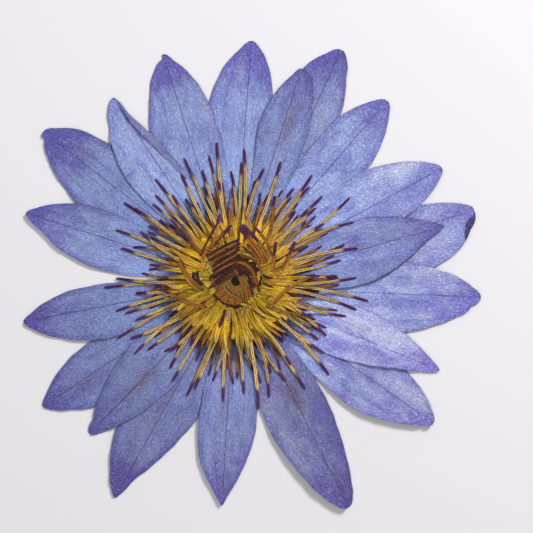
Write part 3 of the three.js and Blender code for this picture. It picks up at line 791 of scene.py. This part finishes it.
# Strands folded over the disc: path, width, tip length, how orange-brown and how dusky.
FOLDED_STRANDS = (
    (((-4.0, -2.2), (-1.6, -4.9), (2.8, -6.9)), 0.6, 0.0, 0.5, 0.0),
    (((-3.6, -1.9), (-1.2, -4.5), (2.8, -6.4)), 0.3, 0.0, 1.0, 1.0),
    (((-8.3, -2.2), (-4.4, 0.9), (2.8, 3.8)), 1.5, 1.0, 1.0, 0.6),
    (((-7.6, -0.4), (-3.9, 2.2), (1.8, 5.4)), 1.0, 1.0, 1.0, 0.9),
    (((-6.8, -3.2), (-4.7, -0.6), (-1.0, 1.7)), 0.7, 0.0, 0.9, 0.6),
    (((-0.2, 4.2), (2.6, -0.5), (4.9, -6.8)), 1.3, 0.2, 0.9, 0.3),
    (((3.6, -1.4), (4.4, -4.2), (4.4, -8.2)), 1.3, 0.0, 1.0, 0.0),
    (((5.0, 0.6), (6.4, -2.6), (6.9, -5.0)), 0.9, 0.4, 1.0, 0.9),
    (((3.0, 3.4), (5.4, 1.6), (7.6, -3.0)), 0.8, 0.8, 1.0, 0.9),
    (((0.8, 7.2), (5.8, 4.9), (8.7, -1.7)), 1.2, 0.4, 1.0, 0.0),
    (((2.2, 5.0), (4.6, 4.2), (6.4, 2.6)), 0.7, 0.4, 1.0, 0.9),
    (((-8.3, 1.2), (-3.4, 4.4), (1.1, 8.5)), 1.1, 1.6, 1.0, 0.9),
    (((-8.3, 2.4), (-3.8, 5.4), (2.2, 8.2)), 0.8, 1.6, 1.0, 0.0),
    (((-8.3, 3.6), (-3.6, 6.6), (3.4, 8.9)), 1.1, 2.2, 1.0, 0.9),
    (((-8.7, 4.6), (-3.4, 7.8), (1.4, 10.2)), 0.7, 0.8, 0.9, 0.1),
    (((-8.7, 5.5), (-3.2, 8.9), (2.1, 12.2)), 1.1, 4.0, 1.0, 0.9),
    (((-9.6, 6.4), (-3.8, 9.9), (2.4, 13.3)), 0.8, 2.6, 1.0, 0.0),
    (((-10.0, 7.6), (-4.0, 11.0), (2.3, 14.4)), 1.2, 4.6, 1.0, 0.9),
    (((-10.6, 8.6), (-4.6, 12.0), (1.6, 15.2)), 0.7, 1.6, 0.9, 0.1),
    (((-10.9, 9.3), (-4.9, 12.9), (1.9, 15.9)), 1.0, 4.6, 1.0, 0.9),
    (((2.2, 9.4), (6.2, 8.6), (9.8, 5.4)), 0.9, 0.8, 1.0, 0.5),
    (((4.2, 11.4), (7.6, 9.4), (10.0, 7.2)), 0.9, 0.8, 0.9, 0.3),
    (((3.0, 13.2), (5.0, 11.4), (8.2, 9.6)), 0.8, 0.8, 1.0, 0.9),
    (((-11.9, 8.3), (-9.6, 12.8), (-1.1, 21.3)), 1.3, 5.0, 1.0, 0.0),
    (((-10.8, 9.8), (-8.2, 13.2), (-1.6, 19.9)), 0.5, 2.0, 1.0, 1.0),
    (((-13.1, 9.6), (-9.9, 16.0), (-5.6, 23.6)), 0.8, 3.0, 1.0, 0.9),
    (((11.3, 7.0), (8.2, 12.4), (2.0, 20.4)), 2.1, 5.0, 1.0, 0.0),
    (((12.8, 8.4), (9.4, 14.4), (2.8, 21.6)), 1.5, 9.0, 0.9, 0.3),
    (((9.8, 4.2), (8.0, 9.6), (4.6, 14.2)), 1.1, 1.5, 1.0, 0.3),
    (((14.0, 9.6), (11.6, 15.6), (7.4, 20.6)), 1.1, 3.0, 1.0, 0.2),
    (((-15.2, 3.4), (-15.4, 0.6), (-13.0, -2.0)), 1.5, 0.5, 1.0, 1.0),
    (((-14.0, 3.8), (-14.0, 1.0), (-12.2, -1.6)), 1.1, 0.5, 1.0, 1.0),
    (((-21.0, 8.0), (-17.6, 1.8), (-11.7, -3.4)), 1.2, 0.2, 0.9, 0.3),
    (((-23.0, -5.7), (-16.7, -8.5), (-10.5, -9.9)), 1.0, 0.5, 1.0, 0.3),
    (((14.3, 3.8), (15.0, 9.0), (15.2, 14.6)), 1.1, 5.0, 0.9, 0.2),
    (((18.1, 4.4), (20.6, 9.6), (22.7, 15.2)), 1.0, 5.5, 0.9, 0.3),
    (((13.4, -9.8), (17.4, -6.0), (20.9, -1.7)), 1.0, 0.5, 1.0, 0.3),
    (((-12.6, 10.6), (-17.3, 15.7), (-21.0, 19.6)), 0.9, 6.0, 1.0, 0.5),
    (((-2.1, -10.8), (-2.3, -13.0), (-2.4, -15.1)), 1.6, 0.2, 0.3, 0.0),
    (((-3.6, -10.8), (-4.6, -14.0), (-5.9, -17.9)), 1.0, 3.5, 1.0, 0.9),
    (((7.0, -10.9), (9.4, -12.8), (11.9, -14.4)), 0.6, 3.0, 1.0, 1.0),
    (((10.8, 2.6), (12.4, 1.4), (14.6, 1.2)), 0.9, 2.0, 1.0, 1.0),
    (((10.6, -0.4), (12.0, -1.4), (14.6, -2.4)), 0.8, 1.0, 1.0, 0.9),
)
KNOB = (((1.6, 2.0), (2.1, 2.5), (2.6, 3.0)), 1.5, 1.2, 1.0, 1.0)
TEETH_LINE = ((-11.0, 10.0), (-2.4, 16.0))
TEETH_COUNT = 9


def lay_folded_stamens(random, material):
    """The innermost stamens, folded across the disc, and those that meet like a gable above it."""
    shape = Shape(STAMEN_VALUES)
    for path, width, tip, kind, dusk in FOLDED_STRANDS + (KNOB,):
        rings, values = lay_stamen(Stamen(path, width, width, tip, kind, dusk), random, 0.5, 0.15, 0.0)
        shape.add_tube(rings, **values)
    first, last = (np.array(end) for end in TEETH_LINE)
    for index in range(TEETH_COUNT):
        foot = first + (last - first) * index / (TEETH_COUNT - 1)
        path = (foot, foot + np.array((-0.5, 0.6)), foot + np.array((-0.6, 1.4)))
        rings, values = lay_stamen(Stamen(path, 0.5, 0.5, 0.4, 0.9, 0.3), random, 0.5, 0.1, 0.0)
        shape.add_tube(rings, **values)
    shape.make("lily_folded_stamens", None, "inner_stamen", [material])


FOOT_RADIUS = 4.9
WALL_RINGS = ((5.3, 0.25), (6.3, 0.9), (6.8, 1.6), (6.8, 3.6))  # radius, height
TOP_HEIGHT = 4.0
STALK_CANALS = ((1.9, 0.95, 4), (3.7, 0.5, 8))  # ring radius, canal radius, count


def level_ring(angle, radius, height):
    return np.stack([radius * np.cos(angle), radius * np.sin(angle), np.full_like(angle, height)], -1)


def lay_receptacle(material):
    """The flat foot of the flower with the air canals of its cut stalk."""
    radius_share, angle = np.meshgrid(np.linspace(0.003, 1, 60),
                                      np.linspace(0, 2 * np.pi, 97)[:-1], indexing="ij")
    x = FOOT_RADIUS * radius_share * np.cos(angle)
    y = FOOT_RADIUS * radius_share * np.sin(angle)
    z = np.zeros_like(x)
    for ring, canal, count in STALK_CANALS:
        for k in range(count):
            centre = 2 * math.pi * (k + 0.5) / count
            apart = np.hypot(x - ring * math.cos(centre), y - ring * math.sin(centre))
            z = np.maximum(z, 0.7 * smooth_step(canal - apart, -0.05, 0.3))
    foot = np.stack([x, y, z], -1)
    bump = 0.12 * np.sin(angle[0] * 9)
    wall = [level_ring(angle[0], radius + bump, height) for radius, height in WALL_RINGS]
    wall.append(level_ring(angle[0], 0.02, TOP_HEIGHT))
    rings = np.concatenate([foot, np.stack(wall)], 0)
    shape = Shape(STAMEN_VALUES)
    pit = np.concatenate([z, np.zeros((len(wall), z.shape[1]))], 0)
    shape.add_tube(rings, place=rings,
                   form=np.stack([np.hypot(rings[..., 0], rings[..., 1]) / 7, rings[..., 2], pit], -1),
                   zone=np.stack([pit, pit * 0, pit * 0 + 1], -1),
                   temper=np.stack([pit * 0, rings[..., 0], rings[..., 1]], -1))
    shape.make("lily_receptacle", "receptacle", "receptacle", [material])


# ---------------------------------------------------------------- materials


class Value:
    """A shader socket that takes part in Python arithmetic."""

    def __init__(self, shader, socket):
        self.shader = shader
        self.socket = socket

    def __add__(self, other):
        return self.shader.math("ADD", self, other)

    def __sub__(self, other):
        return self.shader.math("SUBTRACT", self, other)

    def __rsub__(self, other):
        return self.shader.math("SUBTRACT", other, self)

    def __mul__(self, other):
        return self.shader.math("MULTIPLY", self, other)

    def __truediv__(self, other):
        return self.shader.math("DIVIDE", self, other)

    def __pow__(self, other):
        return self.shader.math("POWER", self, other)

    def __abs__(self):
        return self.shader.math("ABSOLUTE", self, 0)

    __radd__ = __add__
    __rmul__ = __mul__


class Shader:
    """A material whose nodes are made by expressions."""

    def __init__(self, name, roughness=0.7, specular=0.3):
        self.material = bpy.data.materials.new(name)
        self.material.use_nodes = True
        self.tree = self.material.node_tree
        self.surface = self.tree.nodes["Principled BSDF"]
        self.surface.inputs["Roughness"].default_value = roughness
        self.surface.inputs["Specular IOR Level"].default_value = specular

    def node(self, kind, settings=None, output=0, **inputs):
        """Makes a node: its settings first, then the values or links of its sockets."""
        node = self.tree.nodes.new(kind)
        for key, value in (settings or {}).items():
            setattr(node, key, value)
        for key, value in inputs.items():
            number = key.removeprefix("input_")
            socket = node.inputs[int(number)] if number.isdigit() else node.inputs[key.replace("_", " ")]
            self.feed(socket, value)
        return Value(self, node.outputs[output])

    def feed(self, socket, value):
        if isinstance(value, Value):
            self.tree.links.new(value.socket, socket)
        elif isinstance(value, (tuple, list)) or hasattr(value, "__len__"):
            socket.default_value = (*value, 1) if len(socket.default_value) == 4 else tuple(value)
        else:
            socket.default_value = value

    def math(self, operation, first, second):
        return self.node("ShaderNodeMath", {"operation": operation}, input_0=first, input_1=second)

    def attribute(self, name):
        """The three numbers of a point value."""
        vector = self.node("ShaderNodeAttribute", {"attribute_name": name}, output=1)
        return vector, [self.node("ShaderNodeSeparateXYZ", output=k, Vector=vector) for k in range(3)]

    def join(self, x, y, z):
        return self.node("ShaderNodeCombineXYZ", X=x, Y=y, Z=z)

    def noise(self, vector, scale, detail=3.0, roughness=0.55, distortion=0.0):
        return self.node("ShaderNodeTexNoise", Vector=vector, Scale=scale, Detail=detail,
                         Roughness=roughness, Distortion=distortion)

    def fade(self, value, low, high):
        """0 below low, 1 above high, smooth between them; high may be below low."""
        return self.node("ShaderNodeMapRange", {"interpolation_type": "SMOOTHSTEP"}, Value=value,
                         From_Min=low, From_Max=high, To_Min=0.0, To_Max=1.0)

    def mix(self, factor, first, second, blend="MIX"):
        return self.node("ShaderNodeMix", {"data_type": "RGBA", "blend_type": blend, "clamp_factor": True},
                         output=2, input_0=factor, input_6=first, input_7=second)

    def finish(self, colour, roughness=None, height=None, distance=0.0001, strength=1.0):
        self.feed(self.surface.inputs["Base Color"], colour)
        if roughness is not None:
            self.feed(self.surface.inputs["Roughness"], roughness)
        if height is not None:
            bump = self.node("ShaderNodeBump", Strength=strength, Distance=distance, Height=height)
            self.feed(self.surface.inputs["Normal"], bump)
        return self.material


def petal_material(colours, name, back=False):
    """Dry crinkled petal skin: pale and blue at the base, violet at the tip, with a thin midrib."""
    shader = Shader(name, roughness=0.62, specular=0.28)
    _, (across, along, seed) = shader.attribute("place")
    _, (side, share, edge) = shader.attribute("form")
    _, (light, violet, layers) = shader.attribute("tone")
    _, (stain, blotch, pale) = shader.attribute("marks")
    _, (deep, wash, rib) = shader.attribute("temper")
    slow = shader.noise(shader.join(across * 0.16, along * 0.07, seed), 1.0, 2.0)
    cloud = shader.noise(shader.join(across * 0.4, along * 0.2, seed), 1.0, 4.0, 0.62)
    drift = shader.noise(shader.join(across * 0.2, along * 0.11, seed + 9.0), 1.0, 4.0, 0.5, 0.6)
    wrinkle = shader.noise(shader.join(across * 1.7, along * 1.0, seed), 1.0, 2.0, 0.6, 1.3)
    grain = shader.noise(shader.join(across * 3.2, along * 2.4, seed), 1.0, 2.0, 0.6)
    streak = shader.noise(shader.join(edge * 0.35, along * 2.4, seed), 1.0, 3.0, 0.6)
    vein_noise = shader.noise(shader.join(side * 11.0, along * 0.04, seed), 1.0, 2.0, 0.5)

    outward = shader.fade(share + (cloud - 0.5) * 0.1, 0.3, 0.7)
    toward_tip = shader.fade(share + (slow - 0.5) * 0.2 + (cloud - 0.5) * 0.3, 0.72, 1.0)
    colour = shader.mix(outward, colours.petal_base, colours.petal_middle)
    colour = shader.mix(toward_tip * deep, colour, colours.petal_end)
    warmth = violet * (0.45 + (slow - 0.5) * 0.9) + (cloud - 0.5) * 0.3
    colour = shader.mix(warmth, colour, colours.petal_violet)
    pale_wash = shader.fade(drift, 0.5, 0.64) * wash * (1.0 - toward_tip * 0.6)
    dark_wash = shader.fade(drift, 0.49, 0.36) * (0.2 + wash * 0.45)
    colour = shader.mix(pale_wash * 0.4, colour, colours.petal_pale)
    colour = shader.mix(dark_wash, colour, colours.petal_end)

    margin = shader.fade(edge + (streak - 0.5) * STREAK_LENGTH, 3.2, 0.3) * shader.fade(share, 0.35, 0.75)
    colour = shader.mix(margin * 0.55 * deep, colour, colours.petal_end)
    # Painted shade: a thin dark line along the margins of the outer part of the petal.
    rim = shader.fade(edge, 0.5, 0.08) * shader.fade(share, 0.3, 0.6)
    colour = shader.mix(rim * 0.5, colour, colours.petal_vein)
    mottle = 0.55 + (cloud - 0.5) * 1.3 + (wrinkle - 0.5) * 0.5
    colour = shader.mix(pale * mottle * 1.15, colour, colours.petal_pale)
    colour = shader.mix(blotch * mottle * 1.4, colour, colours.petal_end)
    colour = shader.mix(stain * (0.7 + (cloud - 0.5) * 1.4), colour, colours.petal_stain)

    midrib = shader.fade(abs(across), 0.24, 0.04) * shader.fade(share, 0.99, 0.9)
    rib_colour = shader.mix(rib, colours.petal_vein, colours.petal_rib)
    colour = shader.mix(midrib * 0.75, colour, rib_colour)
    fine_veins = shader.fade(vein_noise, 0.44, 0.32)
    colour = shader.mix(fine_veins * 0.2, colour, colours.petal_vein)
    raised = shader.fade(wrinkle, 0.48, 0.62)
    sunken = shader.fade(wrinkle, 0.49, 0.37)
    speck = shader.fade(grain, 0.35, 0.65)
    # Petal roots under the stamens: partly painted shade of the gaps between the stamens, partly filament
    # yellow.
    root_shade_and_yellow = shader.fade(along, 17.0, 9.0)
    colour = shader.mix(root_shade_and_yellow * 0.95, colour, shader.mix(cloud, colours.stamen_edge, colours.filament))

    # Painted highlight: the raised crinkles are paled.
    colour = shader.mix(raised * (0.12 + wash * 0.1), colour, colours.petal_pale)
    # Painted light: the petal bases round the stamens are made brighter.
    painted_base_light = shader.fade(along, 52.0, 24.0)
    # Painted shade: points that lie over other petals are darker by their count.
    stacked_shade = shader.fade(layers, 0.2, 1.4)
    # Painted light on the relief: raised crinkles and grain lighter, sunken crinkles darker.
    relief_light = 1.19 + raised * 0.1 - sunken * 0.14 + speck * 0.05
    brightness = light * (1.0 - stacked_shade * 0.08) * (1.0 + painted_base_light * 0.22) * relief_light
    cast = shader.join(brightness, brightness, brightness * 0.92 + 0.1)
    shaded = shader.mix(1.0, colour, cast, "MULTIPLY")
    if back:
        green = shader.mix(0.35 + (cloud - 0.5) * 1.2, colours.sepal_back, shaded)
        shaded = shader.mix(toward_tip * 0.5, green, shaded)
    relief = wrinkle * 1.1 + grain * 0.16 + midrib * -0.25 + fine_veins * -0.06
    return shader.finish(shaded, 0.62 - raised * 0.2, relief, distance=0.0014, strength=1.0)


def stamen_material(colours):
    """Gold pollen ridges with painted shade in the groove and along the outline, a yellow base and a dark
    violet tip.
    """
    shader = Shader("lily_stamen", roughness=0.6, specular=0.12)
    _, (across, from_tip, seed) = shader.attribute("place")
    _, (side, _, kind) = shader.attribute("form")
    _, (tip, flat, light) = shader.attribute("zone")
    _, (dusk, east, north) = shader.attribute("temper")
    fibre = shader.noise(shader.join(across * 4.2, from_tip * 0.16, seed), 1.0, 3.0, 0.6)
    pollen = shader.noise(shader.join(across * 3.0, from_tip * 1.6, seed), 1.0, 3.0, 0.7)
    patchy = shader.noise(shader.join(across * 0.4, from_tip * 0.25, seed), 1.0, 2.0, 0.5)
    olive = shader.noise(shader.join(east * 0.12, north * 0.12, 3.0), 1.0, 1.0) + north * -0.012
    from_axis = (east * east + north * north) ** 0.5

    ridge_colour = shader.mix(kind, colours.pollen, colours.inner_filament)
    yellow = shader.mix(shader.fade(olive, 0.45, 0.75) * 0.8, colours.filament, colours.filament_olive)
    base_colour = shader.mix(kind * 0.5 + (patchy - 0.5) * 1.2, yellow, colours.inner_filament)
    colour = shader.mix(flat, ridge_colour, base_colour)
    # Painted shade in the groove between the pollen ridges and along the stamen's outline.
    groove = shader.fade(abs(side), 0.3, 0.1) * (1.0 - flat * 0.8)
    outline = shader.fade(abs(side) + (fibre - 0.5) * 0.3, 0.66, 0.9) * (1.0 - flat * 0.4)
    dark = shader.math("MAXIMUM", groove, outline)
    colour = shader.mix(dark * 0.92, colour, colours.stamen_edge)
    streaks = shader.fade(fibre, 0.5, 0.62) * (0.42 + kind * 0.45) * (1.0 - flat * 0.3)
    colour = shader.mix(streaks, colour, colours.stamen_edge)
    glint = shader.fade(fibre, 0.47, 0.36) * flat * 0.6
    colour = shader.mix(glint, colour, colours.filament_light)
    # Painted shade in patches on the flat filaments near the disc.
    hollow_shade = shader.fade(patchy, 0.44, 0.34) * flat * shader.fade(from_axis, 24.0, 13.0)
    colour = shader.mix(hollow_shade * 0.75, colour, colours.stamen_edge)
    colour = shader.mix(dusk * (1.15 + (fibre - 0.5) * 2.4), colour, colours.stamen_dusk)
    # Painted light: the stamens on the lower side are made brighter.
    lower_side_light = 1.0 + shader.fade(north, -6.0, -24.0) * 0.26
    # Painted shade: the stamens darken towards the disc.
    centre_shade_and_lower_light = (shader.fade(from_axis, 9.0, 19.0) * 0.4 + 0.6) * lower_side_light
    inner_tip = shader.fade(from_axis, 24.0, 16.0) * 0.8
    tip_colour = shader.mix(inner_tip, colours.stamen_tip, colours.stamen_dusk)
    tip_colour = shader.mix(shader.fade(fibre, 0.5, 0.62) * 0.4, tip_colour, colours.stamen_edge)
    colour = shader.mix(tip, colour, tip_colour)
    # Painted light on the relief: where the pollen noise raises the bump the stamen is lighter.
    brightness = light * centre_shade_and_lower_light * (0.62 + shader.fade(pollen, 0.35, 0.65) * 0.6)
    colour = shader.mix(1.0, colour, shader.join(brightness, brightness, brightness), "MULTIPLY")
    relief = pollen * 0.4 + fibre * 0.6
    return shader.finish(colour, 0.6, relief, distance=0.0003, strength=0.8)


DISC_TAN = tint(140, 104, 44)
# Painted shadow for the disc's pit.
PIT_SHADE = tint(20, 14, 14)
# Painted shade for the stalk's air canals.
CANAL_SHADE = tint(34, 26, 20)
FLOOR_GRAIN = tint(214, 212, 216)
OBJECT_OUTPUT = 3  # the output of a coordinate node that gives places in the object's own space


def disc_material(colours):
    """Orange-brown, with dark ribs and rim and a painted shadow in the pit."""
    shader = Shader("lily_disc", roughness=0.7, specular=0.1)
    place, (_, north, _) = shader.attribute("place")
    _, (share, _, rib) = shader.attribute("form")
    grain = shader.noise(place, 1.6, 4.0, 0.65)
    ribs = shader.fade(rib, -0.06, -0.14)
    tan = shader.mix(shader.fade(share, 0.5, 0.62), DISC_TAN, colours.disc)
    colour = shader.mix(shader.fade(grain, 0.4, 0.6) * 0.62, tan, colours.disc_rim)
    colour = shader.mix(ribs * 0.6, colour, colours.disc_rim)
    upper_side = shader.fade(north + (grain - 0.5) * 3.0, 0.8, 3.0)
    colour = shader.mix(upper_side * 0.85, colour, colours.disc_rim)
    rim = shader.fade(share + (grain - 0.5) * 0.1, 0.86, 0.92)
    colour = shader.mix(rim, colour, colours.disc_rim)
    # Painted shadow in the pit in the middle of the disc.
    pit = shader.fade(share + (grain - 0.5) * 0.06, 0.21, 0.16)
    colour = shader.mix(pit * 0.97, colour, PIT_SHADE)
    return shader.finish(colour, 0.5 + grain * 0.3, grain, distance=0.0004, strength=0.8)


def carpel_material(colours):
    """Greenish yellow tissue with painted shade in its folds and painted highlights on its raised parts,
    and orange-brown at one end.
    """
    shader = Shader("lily_carpel", roughness=0.7, specular=0.15)
    _, (across, along, seed) = shader.attribute("place")
    _, (_, share, _) = shader.attribute("form")
    fold = shader.noise(shader.join(across * 0.9, along * 1.4, seed), 1.0, 4.0, 0.65)
    # Painted shade in the sunken folds and painted highlight on the raised ones.
    colour = shader.mix(shader.fade(fold, 0.38, 0.58), colours.stamen_edge, colours.carpel)
    colour = shader.mix(shader.fade(fold, 0.6, 0.7) * 0.5, colour, colours.filament_light)
    colour = shader.mix(shader.fade(share, 0.8, 1.0) * 0.7, colour, colours.inner_filament)
    return shader.finish(colour, 0.5 + fold * 0.3, fold, distance=0.0005, strength=0.9)


def receptacle_material(colours):
    """Olive brown, with painted shade in the stalk's air canals."""
    shader = Shader("lily_receptacle", roughness=0.75, specular=0.2)
    place, _ = shader.attribute("place")
    _, (_, _, pit) = shader.attribute("form")
    fibre = shader.noise(place, 1.3, 4.0, 0.6)
    colour = shader.mix(shader.fade(fibre, 0.35, 0.65), colours.disc_rim, colours.receptacle)
    # Painted shade in the air canals.
    colour = shader.mix(shader.fade(pit, 0.1, 0.5) * 0.8, colour, CANAL_SHADE)
    return shader.finish(colour, 0.6 + fibre * 0.3, fibre, distance=0.0004, strength=0.8)


def floor_material(colours):
    shader = Shader("lily_floor", roughness=0.8, specular=0.2)
    place = shader.node("ShaderNodeTexCoord", output=OBJECT_OUTPUT)
    grain = shader.noise(place, 900.0, 3.0, 0.6)
    colour = shader.mix(grain * 0.06, colours.floor, FLOOR_GRAIN)
    return shader.finish(colour, 0.75 + grain * 0.1, grain, distance=0.00002, strength=0.2)


# ---------------------------------------------------------------- operators


class LilyOperator(bpy.types.Operator):
    bl_options = {"REGISTER", "UNDO"}

    @staticmethod
    def settings(context):
        return context.scene.lily_sizes, context.scene.lily_colours


class MakePerianth(LilyOperator):
    """Lays the four sepals and then the sixteen petals, from the lowest to the top one"""
    bl_idname = "lily.perianth"
    bl_label = "Sepals and petals"

    def execute(self, context):
        sizes, colours = self.settings(context)
        skin = petal_material(colours, "lily_petal")
        back = petal_material(colours, "lily_petal_back")
        sepal_back = petal_material(colours, "lily_sepal_back", back=True)
        for order, petal in enumerate(PERIANTH):
            under = sepal_back if petal.node.startswith("sepal") else back
            lay_petal(petal, order, sizes, [skin, under])
        return {"FINISHED"}


class MakeStamens(LilyOperator):
    """Lays the outer stamens and then the inner ones, in the frame's bundles"""
    bl_idname = "lily.stamens"
    bl_label = "Stamens"

    def execute(self, context):
        sizes, colours = self.settings(context)
        stamen_material(colours)
        random = np.random.default_rng(7)
        outer = outer_stamens(sizes, random)
        make_bundles("stamens_outer", "outer_stamen", outer, OUTER_BUNDLES, random, 0.0)
        inner = inner_stamens(random)
        make_bundles("stamens_inner", "inner_stamen", inner, INNER_BUNDLES, random, 0.1)
        return {"FINISHED"}


class MakeCentre(LilyOperator):
    """Makes the stigma disc, the carpel tips round it and the stamens folded over it"""
    bl_idname = "lily.centre"
    bl_label = "Centre"

    def execute(self, context):
        sizes, colours = self.settings(context)
        random = np.random.default_rng(21)
        lay_disc(sizes, disc_material(colours))
        lay_carpel_tips(random, carpel_material(colours))
        lay_folded_stamens(random, bpy.data.materials["lily_stamen"])
        return {"FINISHED"}


class MakeReceptacle(LilyOperator):
    """Makes the flat foot of the flower with the cut stalk's air canals"""
    bl_idname = "lily.receptacle"
    bl_label = "Receptacle"

    def execute(self, context):
        _, colours = self.settings(context)
        lay_receptacle(receptacle_material(colours))
        return {"FINISHED"}


CAMERA_HEIGHT = 1.0
VIEW_CENTRE = (0.01208, 0.00556)
VIEW_WIDTH = 0.2043
SENSOR_WIDTH = 36.0
FLOOR_HALF_SIDE = 1.6
FLOOR_LEVEL = -0.00005
KEY_LIGHT = ((0.55, 0.6, 0.75), 0.26, 10.4)  # place, size, power
FILL_LIGHT = ((-0.6, -0.2, 0.9), 0.9, 2.5)
SURROUND_STRENGTH = 0.44


class MakeStage(LilyOperator):
    """Makes the pale sheet, the lights and the camera that looks straight down"""
    bl_idname = "lily.stage"
    bl_label = "Stage"

    def execute(self, context):
        _, colours = self.settings(context)
        scene = context.scene
        mesh = bpy.data.meshes.new("stage_floor")
        half, level = FLOOR_HALF_SIDE, FLOOR_LEVEL
        mesh.from_pydata([(-half, -half, level), (half, -half, level), (half, half, level),
                          (-half, half, level)], [], [(0, 1, 2, 3)])
        mesh.materials.append(floor_material(colours))
        floor = bpy.data.objects.new("stage_floor", mesh)
        scene.collection.objects.link(floor)

        self.add_light("key_light", *KEY_LIGHT)
        self.add_light("fill_light", *FILL_LIGHT)
        world = bpy.data.worlds.new("studio")
        world.use_nodes = True
        surround = world.node_tree.nodes["Background"].inputs
        surround["Color"].default_value = (1, 1, 1, 1)
        surround["Strength"].default_value = SURROUND_STRENGTH
        scene.world = world

        camera_data = bpy.data.cameras.new("camera")
        camera_data.sensor_width = SENSOR_WIDTH
        camera_data.lens = SENSOR_WIDTH * CAMERA_HEIGHT / VIEW_WIDTH
        camera = bpy.data.objects.new("camera", camera_data)
        camera.location = (*VIEW_CENTRE, CAMERA_HEIGHT)
        scene.collection.objects.link(camera)
        scene.camera = camera
        scene.view_settings.view_transform = "Standard"
        return {"FINISHED"}

    @staticmethod
    def add_light(name, place, size, power):
        data = bpy.data.lights.new(name, "AREA")
        data.size = size
        data.energy = power
        light = bpy.data.objects.new(name, data)
        light.location = place
        direction = np.array(VIEW_CENTRE + (0.0,)) - np.array(place)
        flat = math.hypot(direction[0], direction[1])
        light.rotation_euler = (math.atan2(flat, -direction[2]), 0,
                                math.atan2(direction[1], direction[0]) - math.pi / 2)
        bpy.context.scene.collection.objects.link(light)


class LilyPanel(bpy.types.Panel):
    """Lists what makes the flower"""
    bl_idname = "VIEW3D_PT_lily"
    bl_label = "Pressed water lily"
    bl_space_type = "VIEW_3D"
    bl_region_type = "UI"
    bl_category = "Water lily"

    def draw(self, context):
        for operator in STEPS:
            self.layout.operator(operator.bl_idname)
        for group in (context.scene.lily_sizes, context.scene.lily_colours):
            for name in group.__annotations__:
                self.layout.prop(group, name)


STEPS = (MakePerianth, MakeStamens, MakeCentre, MakeReceptacle, MakeStage)
CLASSES = (LilySizes, LilyColours, *STEPS, LilyPanel)


def register():
    for part in CLASSES:
        bpy.utils.register_class(part)
    bpy.types.Scene.lily_sizes = bpy.props.PointerProperty(type=LilySizes)
    bpy.types.Scene.lily_colours = bpy.props.PointerProperty(type=LilyColours)


def unregister():
    del bpy.types.Scene.lily_colours
    del bpy.types.Scene.lily_sizes
    for part in reversed(CLASSES):
        bpy.utils.unregister_class(part)


def main():
    register()
    bpy.ops.lily.perianth()
    bpy.ops.lily.stamens()
    bpy.ops.lily.centre()
    bpy.ops.lily.receptacle()
    bpy.ops.lily.stage()


if __name__ == "__main__":
    main()
